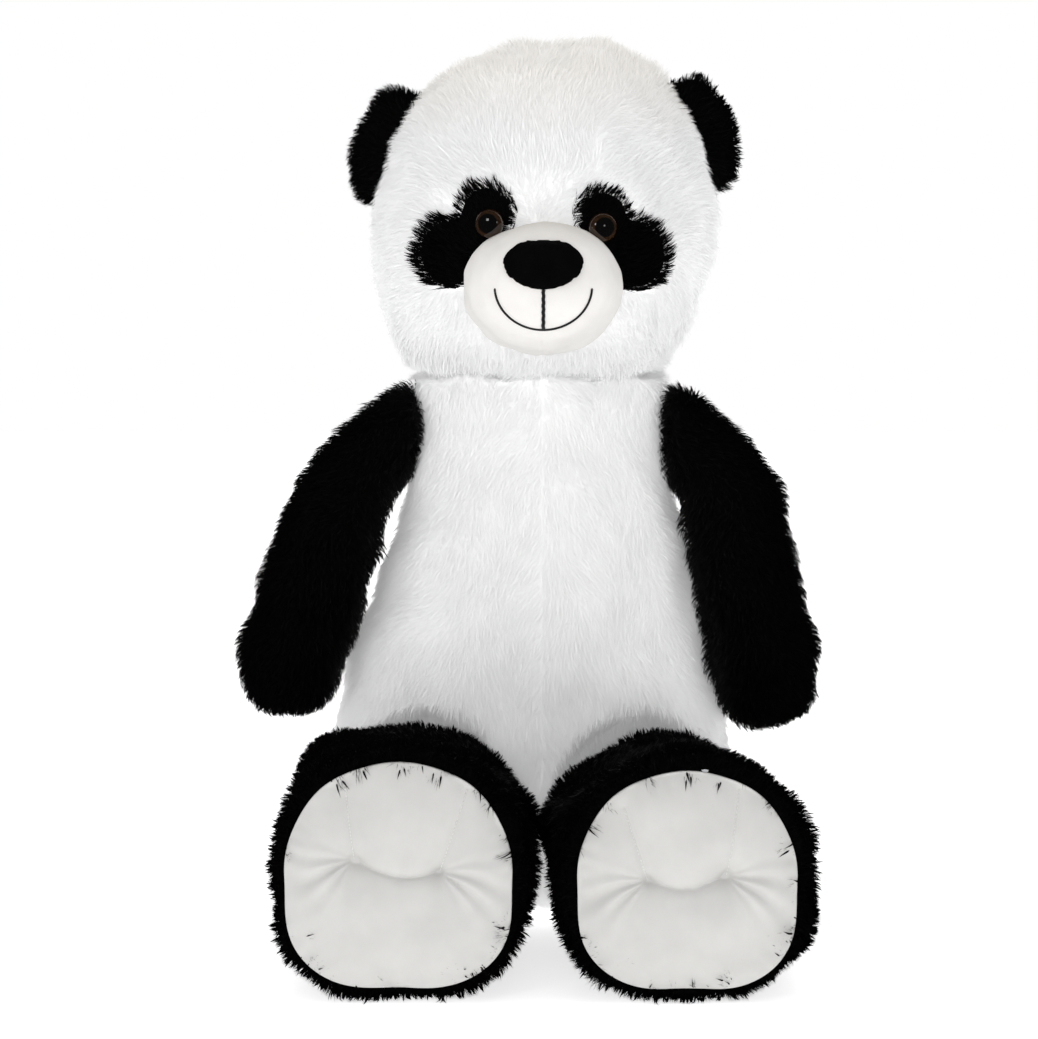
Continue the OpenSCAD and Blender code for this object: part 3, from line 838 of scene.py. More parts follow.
def make_floor():
    mesh = bpy.data.meshes.new("floor")
    with editing(mesh) as bm:
        bmesh.ops.create_grid(bm, x_segments=8, y_segments=8, size=12.0)
    floor = link_mesh("floor", mesh)
    n = Nodes("floor_paper")
    n.colour(n.ramp(n.noise(3.0), [(0.3, (0.94, 0.94, 0.94)), (0.7, (0.96, 0.96, 0.96))]))
    x, y, _ = n.place()
    away = n.radius(x, n.math("ADD", y, 0.1))
    far = n.math("DIVIDE", n.math("SUBTRACT", away, 0.55), 0.75)
    n.link(n.grey(far, 0.72, 1.0), n.shader.inputs["Emission Strength"])
    n.set(Roughness=0.95, Specular_IOR_Level=0.0, Emission_Color=(1.0, 1.0, 1.0, 1.0))
    mesh.materials.append(n.material)
    floor.visible_glossy = False


make_floor()


# ---------------------------------------------------------------- skins under the pile

VOXEL = 0.006
SMOOTH_STEPS = 10
NECK_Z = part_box("neck_stuffing")[0].z / 2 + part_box("neck_stuffing")[1].z / 2


def ease(value, start, end):
    """0 at start, 1 at end, smooth between."""
    t = np.clip((value - start) / (end - start), 0, 1)
    return t * t * (3 - 2 * t)


def bell(value, middle, width):
    return np.exp(-(((value - middle) / width) ** 2))


def centre(node):
    low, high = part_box(node)
    return np.array((low + high) / 2)


# A filled toy is never quite even: how far each foot, ear and eye has settled, in x and z
FOOT_SHIFT = {"left": (0.002, -0.007), "right": (-0.007, -0.002)}
EAR_SHIFT = {"left": (-0.001, 0.009), "right": (0.007, -0.006)}
EYE_SHIFT = {"left": (0.003, -0.002), "right": (0.004, 0.002)}
# The size of each sole, how much of its height a thigh has lost, and how far it swells inward
SOLE_SIZE = {"left": 0.97, "right": 1.005}
THIGH_SAG = {"left": 0.095, "right": 0.065}
THIGH_SWELL = {"left": 0.038, "right": 0.02}
# How far each paw hangs to the toy's right
ARM_LEAN = {"left": 0.02, "right": 0.014}
# How far from the middle the black of an arm begins, at some heights
ARM_HEIGHTS = [0.28, 0.34, 0.4, 0.47, 0.505, 0.6]
ARM_EDGE = [0.16, 0.185, 0.18, 0.17, 0.15, 0.148]
SHOULDER_Z = centre("left_shoulder_stuffing")[2]
# How far the head stands to the toy's left, at some heights
HEAD_HEIGHTS = [0.58, 0.66, 0.74, 0.8, 0.88, 0.93, 1.0]
HEAD_LEAN = [-0.006, -0.006, 0.003, 0.005, 0.006, 0.012, 0.018]


def sole_place(side):
    """Middle of a settled sole on its back, and its radius."""
    low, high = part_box(side + "_sole_pad")
    shift_x, shift_z = FOOT_SHIFT[side]
    middle = np.array([(low.x + high.x) / 2 + shift_x, high.y, (low.z + high.z) / 2 + shift_z])
    return middle, (high.x - low.x) / 2 * SOLE_SIZE[side]


def square_foot(x, z):
    """How much further out a foot stands at its corners, most of all at the bottom ones."""
    angle = np.arctan2(z, x)
    return 1 + np.where(z < 0, 0.13, 0.02) * np.sin(2 * angle) ** 2


def torso_form(co):
    co[:, 0] -= 0.012 * ease(co[:, 2], 0.5, 0.18)
    return co


def head_form(co):
    co[:, 0] *= 1 + 0.02 * ease(co[:, 2], 0.7, 0.64)
    co[:, 0] -= 0.011 * bell(co[:, 2], 0.935, 0.035) * ease(co[:, 0], 0.05, 0.13)
    co[:, 0] += np.interp(co[:, 2], HEAD_HEIGHTS, HEAD_LEAN)
    crown = ease(co[:, 2], 0.93, 0.98)
    co[:, 2] += crown * (0.0045 * waves(co, 0.075, SEED + 9) - 0.001)
    co[:, 2] -= crown * 0.005 * ease(co[:, 0], 0.03, -0.06)
    return co


def arm_form(co, side):
    sign = SIDES[side]
    down = np.clip((SHOULDER_Z + 0.02 - co[:, 2]) / 0.3, 0, 1)
    edge = np.interp(co[:, 2], ARM_HEIGHTS, ARM_EDGE)
    short = np.maximum(0, edge - co[:, 0] * sign)
    co[:, 0] += sign * short * 0.85 * ease(co[:, 2], 0.28, 0.36)
    co[:, 0] -= ARM_LEAN[side] * down
    co[:, 2] -= 0.007 * (1 - down)
    if side == "right":
        co[:, 2] += 0.05 * np.maximum(0, SHOULDER_Z - co[:, 2])
    co[:, 0] += sign * 0.004 * bell(co[:, 2], SHOULDER_Z - 0.06, 0.06)
    return co


def leg_form(co, side):
    sign = SIDES[side]
    front = ease(co[:, 1], -0.4, -0.47)
    shift_x, shift_z = FOOT_SHIFT[side]
    co[:, 0] += shift_x * ease(co[:, 1], -0.2, -0.45)
    co[:, 2] += shift_z * front * ease(co[:, 2], 0.0, 0.12)
    sole, radius = sole_place(side)
    across, up = co[:, 0] - sole[0], co[:, 2] - sole[2]
    stretch = 1 + (square_foot(across, up) - 1) * ease(co[:, 1], -0.2, -0.4)
    stretch = stretch * (1 + 0.015 * ease(co[:, 1], -0.25, -0.42))
    co[:, 0], co[:, 2] = sole[0] + across * stretch, sole[2] + up * stretch
    behind = (np.hypot(across, up) < radius) & (co[:, 1] < sole[1] + 0.03)
    co[:, 1] = np.where(behind, np.maximum(co[:, 1], sole[1] + 0.005), co[:, 1])
    co[:, 2] *= 1 - THIGH_SAG[side] * ease(co[:, 1], -0.48, -0.38)
    near = ease(np.abs(co[:, 0]), 0.11, 0.02)
    swell = near * bell(co[:, 1], -0.29, 0.1) * bell(co[:, 2], 0.175, 0.06)
    co[:, 0] -= sign * THIGH_SWELL[side] * swell
    if side == "right":
        hip = ease(co[:, 2], 0.1, 0.18) * ease(np.abs(co[:, 0]), 0.12, 0.22) * bell(co[:, 1], -0.2, 0.1)
        co[:, 0] += sign * 0.03 * hip
        co[:, 2] += 0.022 * hip
    return co


def ear_form(co, side):
    shift_x, shift_z = EAR_SHIFT[side]
    co[:, 0] += shift_x
    co[:, 2] += shift_z
    return co


def body_skin(name, nodes, seed, depth, form, lump=0.0022, also=None):
    ob = from_nodes(name, *nodes)
    if also:
        also(ob)
    remesh(ob, VOXEL, SMOOTH_STEPS)
    inset(ob, depth)
    puff(ob, 0.004)
    lumps(ob, 0.09, lump, seed)
    co = form(vertices(ob))
    co[:, 2] = np.maximum(co[:, 2], FLOOR_CLEAR * 2)
    set_vertices(ob, co)
    return ob


def crease(ob, where, width, depth):
    """Presses a groove into ob where where(points), a distance in metres, is near zero."""
    co = vertices(ob)
    press = bell(where(co), 0.0, width) * depth
    set_vertices(ob, co - vertex_normals(ob) * press[:, None])


TORSO_PANELS = {
    "torso_front_left_panel": (1, -1), "torso_front_right_panel": (-1, -1),
    "torso_back_left_panel": (1, 1), "torso_back_right_panel": (-1, 1),
}
# The half width and half depth of the gathered neck, and its lowest and highest points
NECK_HALF = (0.153, 0.107)
NECK_RISE = (NECK_Z - 0.15, NECK_Z + 0.012)


def add_neck(ob):
    """The gathered cloth between the arms, which rises into the head."""
    depth = NECK_RISE[1] - NECK_RISE[0]
    with editing(ob.data) as bm:
        made = bmesh.ops.create_cone(
            bm, cap_ends=True, segments=64, radius1=1.0, radius2=1.0, depth=depth
        )
        for v in made["verts"]:
            narrow = 0.96 if v.co.z > 0 else 1.0
            v.co.x = v.co.x * NECK_HALF[0] * narrow - 0.002
            v.co.y *= NECK_HALF[1] * narrow * narrow
            v.co.z += sum(NECK_RISE) / 2


torso_ob = body_skin(
    "torso_skin", [*TORSO_PANELS, "seat_base_panel", "torso_stuffing"], SEED, 0.0035,
    torso_form, also=add_neck,
)
crease(torso_ob, lambda p: np.where(p[:, 1] < 0, p[:, 0] + 0.004, 1.0), 0.008, 0.002)
crease(torso_ob, lambda p: np.where(p[:, 1] > 0, p[:, 0], 1.0), 0.008, 0.003)
head_ob = body_skin(
    "head_skin",
    ["face_panel", "head_back_left_panel", "head_back_right_panel", "head_stuffing"],
    SEED + 1, 0.003, head_form,
)

limb_obs = {}
for side in SIDES:
    limb_obs[side, "arm"] = body_skin(
        side + "_arm_skin",
        [f"{side}_arm_inner_panel", f"{side}_arm_outer_panel", f"{side}_arm_stuffing",
         f"{side}_shoulder_stuffing"],
        SEED + 20 + SIDE_SEED[side], 0.004, lambda co, side=side: arm_form(co, side), lump=0.003,
    )
    limb_obs[side, "leg"] = body_skin(
        side + "_leg_skin",
        [f"{side}_leg_inner_panel", f"{side}_leg_outer_panel", f"{side}_leg_stuffing",
         f"{side}_hip_stuffing"],
        SEED + 30 + SIDE_SEED[side], 0.004, lambda co, side=side: leg_form(co, side), lump=0.003,
    )


def ear_skin(side):
    """The ear's cushion, carried on into the head so that it stays joined to it."""
    sign = SIDES[side]
    nodes = [f"{side}_ear_front_panel", f"{side}_ear_back_panel", f"{side}_ear_stuffing"]
    ob = from_nodes(side + "_ear_skin", *nodes)
    step = Vector((-sign * 0.014, 0.0, -0.0045))
    with editing(ob.data) as bm:
        first = list(bm.verts) + list(bm.edges) + list(bm.faces)
        for k in range(1, 4):
            copy = bmesh.ops.duplicate(bm, geom=first)["geom"]
            verts = [v for v in copy if isinstance(v, bmesh.types.BMVert)]
            bmesh.ops.translate(bm, vec=step * k, verts=verts)
    remesh(ob, 0.004, 10)
    inset(ob, 0.002)
    puff(ob, 0.003)
    lumps(ob, 0.06, 0.0015, SEED + 50 + SIDE_SEED[side])
    set_vertices(ob, ear_form(vertices(ob), side))
    return ob


ear_obs = {side: ear_skin(side) for side in SIDES}


# ---------------------------------------------------------------- muzzle, nose and mouth

def velour_form(name, nodes, voxel, steps, cap):
    ob = from_nodes(name, *nodes)
    low, high = vertices(ob).min(0), vertices(ob).max(0)
    remesh(ob, voxel, steps)
    puff(ob, cap)
    fit(ob, low, high)
    add_modifier(ob, "SUBSURF", levels=1, render_levels=1)
    apply_modifiers(ob)
    return smooth(ob)


muzzle = velour_form("muzzle", ["muzzle_cover", "muzzle_stuffing"], 0.004, 8, 0.004)
nose = velour_form("nose", ["nose_cover", "nose_stuffing"], 0.0022, 5, 0.002)
MUZZLE_LOW, MUZZLE_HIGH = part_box("muzzle_cover")
NOSE_LOW, NOSE_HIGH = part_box("nose_cover")
nose_z = (NOSE_LOW.z + NOSE_HIGH.z) / 2
muzzle_z = (MUZZLE_LOW.z + MUZZLE_HIGH.z) / 2


def muzzle_seam(p):
    """Distance from the seam that runs down the middle of the muzzle below the nose."""
    return np.where((p[:, 2] < nose_z) & (p[:, 1] < MUZZLE_HIGH.y), p[:, 0], 1.0)


crease(muzzle, muzzle_seam, 0.003, 0.0012)
lumps(muzzle, 0.06, 0.0009, SEED + 13)
co = vertices(nose)
co[:, 2] -= 0.0022 * ease(co[:, 2], nose_z, NOSE_HIGH.z) * bell(co[:, 0], 0.0, 0.011)
co[:, 0] *= 1 + 0.2 * ease(co[:, 2], nose_z + 0.004, NOSE_LOW.z + 0.006)
set_vertices(nose, co)
for ob, material in ((muzzle, MUZZLE_VELOUR), (nose, NOSE_VELOUR)):
    ob.data.materials.append(material)
finish_piece(muzzle, "head", ["muzzle_cover"])
finish_piece(nose, "head", ["nose_cover"])
muzzle_skin = Skin(muzzle)


# ---------------------------------------------------------------- eye patches

# The two round lobes of a patch: across and up from the middle of the CAD patch, then the
# radius. The one around the eye is higher and nearer the nose.
PATCH_LOBES = {
    "left": ((-0.02, 0.021, 0.0325), (0.016, -0.019, 0.0405)),
    "right": ((-0.023, 0.024, 0.034), (0.015, -0.016, 0.0405)),
}


def in_patch(p, side, grown=0.0):
    """True where a point of the face lies in one of the patch's lobes."""
    middle = centre(side + "_eye_patch")
    inside = np.zeros(len(p), bool)
    for across, up, radius in PATCH_LOBES[side]:
        x = middle[0] + SIDES[side] * across
        inside |= np.hypot(p[:, 0] - x, p[:, 2] - middle[2] - up) < radius + grown
    return inside & (p[:, 1] < -0.06)


# ---------------------------------------------------------------- pile

# Pile is this deep inside another part before it is left out, it needs this much room in front
# of the muzzle, and beside a limb it is shortened within this distance, down to this share
BURIED = {"limb": 0.003, "head": 0.008, "neck": 0.006, "root": 0.002}
MUZZLE_ROOM = 0.05
LIMB_ROOM = 0.012
SHORTEST = 0.35
SEAT_Z = 0.01

skins = {
    "torso": Skin(torso_ob),
    "head": Skin(head_ob),
    **{f"{side}_{kind}": Skin(ob) for (side, kind), ob in limb_obs.items()},
    **{f"{side}_ear": Skin(ob) for side, ob in ear_obs.items()},
}


def seat_base(p):
    """The flat part that the toy sits on."""
    return p[:, 2] < SEAT_Z


def torso_lay(p, n):
    """Down, and away from the seam in the middle of the front. Short beside the limbs."""
    way = np.zeros_like(p)
    way[:, 2] = -1.0
    way[:, 0] = 0.3 * np.sign(p[:, 0]) * np.exp(-np.abs(p[:, 0]) / 0.05)
    way += 0.3 * waves(p, 0.14, SEED + 5, 3)
    reach = 0.35 + 0.65 * ease(p[:, 2], 0.0, 0.05)
    for limb in ("arm", "leg"):
        for side in SIDES:
            skin = skins[f"{side}_{limb}"]
            reach *= np.clip(skin.room(p, n, LIMB_ROOM) / LIMB_ROOM, SHORTEST, 1)
            reach[skin.buries(p, BURIED["limb"])] = 0
    reach[seat_base(p) & (n[:, 2] < -0.6)] = 0
    reach[skins["head"].buries(p, BURIED["head"])] = 0
    return way, reach


def quadrant(sx, sy):
    return lambda p: (np.sign(p[:, 0] + 1e-9) == sx) & (np.sign(p[:, 1] + 1e-9) == sy) & ~seat_base(p)


torso_parts = {name: quadrant(*signs) for name, signs in TORSO_PANELS.items()}
torso_parts["seat_base_panel"] = seat_base
for ob, node in grow(skins["torso"], "white", SEED + 100, torso_lay, torso_parts):
    finish_piece(ob, "torso", [node])

face_centre = np.array([0.0, MUZZLE_LOW.y + 0.08, muzzle_z + 0.04])


def head_lay(p, n):
    """Out from the middle of the face, and down over the sides and the back."""
    way = unit(p - face_centre)
    back = np.clip((p[:, 1] + 0.1) / 0.2, 0, 1)
    low = np.clip((0.8 - p[:, 2]) / 0.2, 0, 1)
    way = way * (1 - 0.5 * back[:, None])
    way[:, 2] -= 0.2 + 0.7 * back + 0.5 * low
    crown = ease(p[:, 2], 0.9, 0.97)
    way[:, 1] += crown * 0.8
    way += (0.3 + 0.3 * crown[:, None]) * waves(p, 0.12, SEED + 6, 3)
    reach = 1 - 0.3 * ((p[:, 1] < -0.1) & (np.abs(p[:, 0]) < 0.12) & (p[:, 2] < muzzle_z + 0.12))
    reach = reach + 0.4 * ease(p[:, 2], 0.66, 0.62)
    reach[skins["torso"].buries(p, BURIED["neck"])] = 0
    reach[muzzle_skin.room(p, n, MUZZLE_ROOM) < MUZZLE_ROOM] = 0
    for side in SIDES:
        reach[in_patch(p, side, -0.001)] = 0
    return way, reach


head_parts = {
    "face_panel": lambda p: p[:, 1] < 0,
    "head_back_left_panel": lambda p: (p[:, 1] >= 0) & (p[:, 0] >= 0),
    "head_back_right_panel": lambda p: (p[:, 1] >= 0) & (p[:, 0] < 0),
}
for ob, node in grow(skins["head"], "white", SEED + 101, head_lay, head_parts):
    finish_piece(ob, "head", [node])


def bend_arm(ob, side):
    """Bakes the placement of an arm's piece into its mesh."""
    start = centre(side + "_shoulder_stuffing")
    end = start + np.array([SIDES[side] * 0.065, -0.02, -0.05])
    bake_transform(ob)


for side, sign in SIDES.items():
    shoulder = centre(side + "_shoulder_stuffing")
    sole, sole_r = sole_place(side)
    paw = centre(side + "_arm_outer_panel")
    paw = np.array([paw[0], -0.083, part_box(side + "_arm_inner_panel")[0].z])

    def arm_lay(p, n):
        way = unit(paw - shoulder) + 0.45 * unit(p - shoulder) + 0.25 * n
        way = way + 0.35 * waves(p, 0.1, SEED + 7, 3)
        reach = np.ones(len(p))
        reach[skins["torso"].buries(p, BURIED["root"])] = 0
        return way, reach

    def arm_inner(p):
        t = np.clip((shoulder[2] - p[:, 2]) / (shoulder[2] - paw[2] - 0.05), 0, 1)
        line = shoulder[0] + (paw[0] - shoulder[0]) * np.sqrt(t)
        return (p[:, 0] - line) * sign < 0

    seed = SEED + SIDE_SEED[side]
    parts = {side + "_arm_inner_panel": arm_inner, side + "_arm_outer_panel": lambda p: ~arm_inner(p)}
    for ob, node in grow(skins[side + "_arm"], "black", seed + 110, arm_lay, parts):
        finish_piece(ob, None, [node])
        bend_arm(ob, side)

    def leg_lay(p, n):
        """Forward along the leg; round the sole some tufts lie inward over its edge."""
        way = 0.35 * n + 0.35 * waves(p, 0.1, SEED + 8, 3)
        way[:, 1] -= 0.9
        out = p - sole
        out[:, 1] = 0
        face = np.linalg.norm(out, axis=1)
        front = ease(p[:, 1], sole[1] + 0.03, sole[1] + 0.01)[:, None]
        tuft = waves(p, 0.022, SEED + 14)[:, None] + 0.5 * ease(p[:, 2], 0.2, 0.25)[:, None]
        inward = tuft > 0.8
        lip = unit(out) * np.where(inward, -1.0, 0.35) + np.array([0, -1, 0]) * np.where(inward, 1.3, 0.5)
        way = way * (1 - front) + lip * front
        reach = 1 - 0.15 * front[:, 0] + 0.6 * (inward * front)[:, 0]
        reach[(p[:, 1] < sole[1] + 0.03) & (face < sole_r - 0.002)] = 0
        reach[skins["torso"].buries(p, BURIED["root"])] = 0
        return way, reach

    def leg_outer(p):
        return (p[:, 0] - sole[0]) * sign >= 0

    parts = {side + "_leg_outer_panel": leg_outer, side + "_leg_inner_panel": lambda p: ~leg_outer(p)}
    for ob, node in grow(skins[side + "_leg"], "black", seed + 120, leg_lay, parts):
        finish_piece(ob, side + "_leg", [node])

    hinge = centre(side + "_ear_stuffing")
    ear_low, ear_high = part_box(side + "_ear_stuffing")
    root_x = min(abs(ear_low.x), abs(ear_high.x))

    def ear_lay(p, n):
        way = unit(p - (hinge - np.array([sign * 0.05, 0.0, 0.01])))
        way[:, 1] *= 0.4
        way = way + 0.3 * waves(p, 0.06, SEED + 10, 3)
        reach = np.full(len(p), 0.8)
        reach[skins["head"].buries(p, BURIED["neck"])] = 0
        return way, reach

    parts = {side + "_ear_front_panel": lambda p: p[:, 1] < hinge[1],
             side + "_ear_back_panel": lambda p: p[:, 1] >= hinge[1]}
    for ob, node in grow(skins[side + "_ear"], "black", seed + 130, ear_lay, parts):
        finish_piece(ob, None, [node])
        start = (sign * (root_x - 0.02), hinge[1], hinge[2] - 0.005)
        end = (sign * (root_x + 0.02), hinge[1], hinge[2] + 0.008)
        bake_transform(ob)
        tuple(start)

    eye_x, _, eye_z = centre(side + "_eye") + np.array([EYE_SHIFT[side][0], 0, EYE_SHIFT[side][1]])

    def patch_lay(p, n):
        way = p - np.array([0.0, 0.0, muzzle_z - 0.01])
        way[:, 1] = 0.0
        way = unit(way) + 0.3 * waves(p, 0.05, SEED + 11, 3)
        ring = np.hypot(p[:, 0] - eye_x, p[:, 2] - eye_z)
        reach = np.clip(0.45 + (ring - 0.016) / 0.03, 0.45, 1.0)
        reach[(ring < 0.0145) | ~in_patch(p, side)] = 0
        reach[muzzle_skin.room(p, n, MUZZLE_ROOM) < MUZZLE_ROOM] = 0
        return way, reach

    for ob, node in grow(
        skins["head"], "black", seed + 140, patch_lay,
        {side + "_eye_patch": lambda p: in_patch(p, side, 0.001)},
        rise=0.0016, cloth=lambda p: in_patch(p, side, -0.005), locks=60000, hairs=300000,
    ):
        finish_piece(ob, "head", [node])

for ob in [torso_ob, head_ob, *limb_obs.values(), *ear_obs.values()]:
    bpy.data.objects.remove(ob)


# ---------------------------------------------------------------- tail

tail_ob = from_nodes("tail_skin", "tail")
remesh(tail_ob, 0.004, 10)
inset(tail_ob, 0.006)
puff(tail_ob, 0.003)
tail_centre = centre("tail")


def tail_lay(p, n):
    way = unit(p - tail_centre) + np.array([0, 0, -0.5]) + 0.3 * waves(p, 0.04, SEED + 12, 3)
    return way, np.ones(len(p)) * ~skins["torso"].buries(p, BURIED["root"])


everywhere = {"tail": lambda p: np.ones(len(p), bool)}
for ob, node in grow(Skin(tail_ob), "white", SEED + 150, tail_lay, everywhere):
    finish_piece(ob, "torso", [node])
bpy.data.objects.remove(tail_ob)


# ---------------------------------------------------------------- fibre filling

# For each filling, the size of its lumps and how its cover has settled, where np.array is a
# copy as it is
FILLINGS = {
    "torso_stuffing": (0.012, torso_form), "head_stuffing": (0.012, head_form),
    "neck_stuffing": (0.008, np.array), "muzzle_stuffing": (0.006, np.array),
    "nose_stuffing": (0.004, np.array),
}
for side in SIDES:
    for part, voxel, form in (
        ("ear", 0.005, ear_form), ("arm", 0.01, arm_form), ("shoulder", 0.01, arm_form),
        ("leg", 0.01, leg_form), ("hip", 0.01, leg_form),
    ):
        FILLINGS[f"{side}_{part}_stuffing"] = (
            voxel, lambda co, form=form, side=side: form(co, side)
        )

# The wad in a shoulder is shrunk to stay well inside the cloth over it
WAD_SIZE = 0.7

for number, (node, (voxel, form)) in enumerate(FILLINGS.items()):
    ob = from_nodes(node.replace("stuffing", "fibre_filling"), node)
    remesh(ob, voxel, 2)
    inset(ob, voxel * 0.6 + 0.0015)
    lumps(ob, voxel * 6, voxel * 0.16, SEED + 200 + number)
    co = form(vertices(ob))
    if node.endswith("shoulder_stuffing"):
        co = co.mean(0) + (co - co.mean(0)) * WAD_SIZE
    co[:, 2] = np.maximum(co[:, 2], FLOOR_CLEAR * 5)
    set_vertices(ob, co)
    smooth(ob)
    ob.data.materials.append(FIBRE)
    if node.endswith("arm_stuffing"):
        finish_piece(ob, None, [node])
        bend_arm(ob, node.split("_")[0])
    else:
        finish_piece(ob, frame["nodes"][node]["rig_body"], [node])


# ---------------------------------------------------------------- eyes

def lathe(name, profile, steps=72):
    """A closed turned shape round Z from its outline of (radius, height)."""
    angles = np.arange(steps) * 2 * math.pi / steps
    co = [(r * math.cos(a), r * math.sin(a), height) for r, height in profile for a in angles]
    return closed_mesh(name, co, ring_faces(len(profile), steps))


def eye_material():
    """Glossy moulded eye: a black pupil in a dark brown iris with fine rays."""
    n = Nodes("eye_plastic")
    x, y, _ = n.place()
    share = n.math("DIVIDE", n.radius(x, y), EYE_R)
    rays = n.noise(420.0, 2.0)
    iris = n.ramp(rays, [(0.3, (0.012, 0.005, 0.002)), (0.7, (0.03, 0.014, 0.005))])
    pupil = n.ramp(share, [(0.0, (0.0, 0.0, 0.0)), (0.66, (0.0, 0.0, 0.0)), (0.74, (1.0, 1.0, 1.0))])
    n.colour(n.mix((0.001, 0.001, 0.001), iris, pupil))
    n.roughness(n.grey(rays, 0.03, 0.07))
    n.set(Coat_Weight=0.25, Coat_Roughness=0.02, Specular_IOR_Level=0.45)
    return n.material


EYE_R = 0.0155
EYE_TALL = 0.0095
EYE_MATERIAL = eye_material()
SHANK_R = 0.0025
SHANK_LEN = 0.024
for side, sign in SIDES.items():
    turn = math.radians(14.0) * sign
    forward = np.array([math.sin(turn), -math.cos(turn), 0.0])
    points = vertices(frame["nodes"][side + "_eye"])
    tip = points[np.argmax(points @ forward)]
    dome = [
        (EYE_R * math.cos(a), EYE_TALL * math.sin(a) ** 0.9)
        for a in np.linspace(0, math.pi / 2, 20)[:-1]
    ]
    profile = [(0, -SHANK_LEN), (SHANK_R * 0.8, -SHANK_LEN), (SHANK_R, -SHANK_LEN * 0.95),
               (SHANK_R, -0.003), (EYE_R * 0.9, -0.0022), (EYE_R + 0.0004, -0.0012),
               *dome, (0, EYE_TALL)]
    eye = lathe(side + "_eye_bead", profile)
    shift_x, shift_z = EYE_SHIFT[side]
    eye.location = Vector(tip - forward * EYE_TALL + np.array([shift_x, 0.0, shift_z]))
    eye.rotation_euler = Vector(forward).to_track_quat("Z", "Y").to_euler()
    eye.data.materials.append(EYE_MATERIAL)
    finish_piece(eye, "head", [side + "_eye"])


# ---------------------------------------------------------------- threads

def tube(points, radius, sides=10, twist=0.0):
    """Corner places and faces of a closed thread along points. twist is the length of a stitch."""
    points = np.asarray(points, float)
    ways = unit(np.gradient(points, axis=0))
    far = np.concatenate([[0.0], np.cumsum(np.linalg.norm(np.diff(points, axis=0), axis=1))])
    first = np.cross(ways, [0.13, -1.0, 0.21])
    e1 = unit(first)
    e2 = np.cross(ways, e1)
    angles = np.arange(sides) * 2 * math.pi / sides
    swell = np.ones((len(points), sides))
    if twist:
        swell += 0.14 * np.sin(2 * math.pi * far[:, None] / twist + angles[None, :])
    ends = np.minimum(1.0, np.minimum(far, far[-1] - far) / radius + 0.15)
    size = radius * swell * np.sqrt(ends)[:, None]
    co = (points[:, None, :] + e1[:, None, :] * (np.cos(angles) * size)[:, :, None]
          + e2[:, None, :] * (np.sin(angles) * size)[:, :, None])
    n = len(points)
    k = np.arange(sides)
    caps = [tuple(k[::-1]), tuple((n - 1) * sides + k)]
    return co.reshape(-1, 3), ring_faces(n, sides) + caps


def thread_piece(name, paths, radius, material, body, nodes, twist):
    verts, faces = [], []
    for path in paths:
        co, corners = tube(path, radius, twist=twist)
        faces += [tuple(int(i) + len(verts) for i in face) for face in corners]
        verts += list(co)
    ob = closed_mesh(name, verts, faces)
    ob.data.materials.append(material)
    finish_piece(ob, body, nodes)


def on_surface(tree, x, z, proud):
    """The point of a surface straight ahead of the toy at (x, z), stood forward by proud."""
    hit = tree.ray_cast(Vector((x, -1.5, z)), Vector((0.0, 1.0, 0.0)))[0]
    return (x, hit.y - proud, z)


mouth_low, mouth_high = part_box("mouth_embroidery")
THREAD_R = 0.0013
half_smile = (mouth_high.x - mouth_low.x) / 2 - THREAD_R
smile_low = mouth_low.z + THREAD_R
smile_tall = 0.0465
smile = []
for t in np.linspace(-math.pi / 2 * 0.97, math.pi / 2 * 0.97, 140):
    x = half_smile * math.sin(t)
    z = smile_low + smile_tall * (1 - math.cos(t))
    smile.append(on_surface(muzzle_skin.tree, x, z, THREAD_R * 0.4))
middle = [
    [
        on_surface(muzzle_skin.tree, across + 0.0003 * math.sin(z * 900), z, THREAD_R * 0.4)
        for z in np.linspace(smile_low, NOSE_LOW.z + 0.002, 60)
    ]
    for across in (-0.0006, 0.0006)
]
thread_piece(
    "mouth_thread", [smile, *middle], THREAD_R, BLACK_THREAD, "head",
    ["mouth_embroidery"], 0.0022,
)


# ---------------------------------------------------------------- soles

# For each foot, in shares of the sole's radius, across to the toy's left and up: where the
# two toe threads start at the rim and where they pull the sole in
PULLS = {
    "left": (((0.46, 0.83), (0.35, 0.05)), ((-0.57, 0.66), (-0.36, 0.01))),
    "right": (((0.6, 0.76), (0.36, 0.04)), ((-0.46, 0.81), (-0.38, 0.14))),
}
SOLE_RISE = 0.019


def near_path(u, v, path):
    """Distance from a path of points."""
    best = np.full(u.shape, 9.0)
    for (ax, ay), (bx, by) in zip(path, path[1:]):
        dx, dy = bx - ax, by - ay
        t = np.clip(((u - ax) * dx + (v - ay) * dy) / (dx * dx + dy * dy), 0, 1)
        best = np.minimum(best, np.hypot(u - ax - t * dx, v - ay - t * dy))
    return best


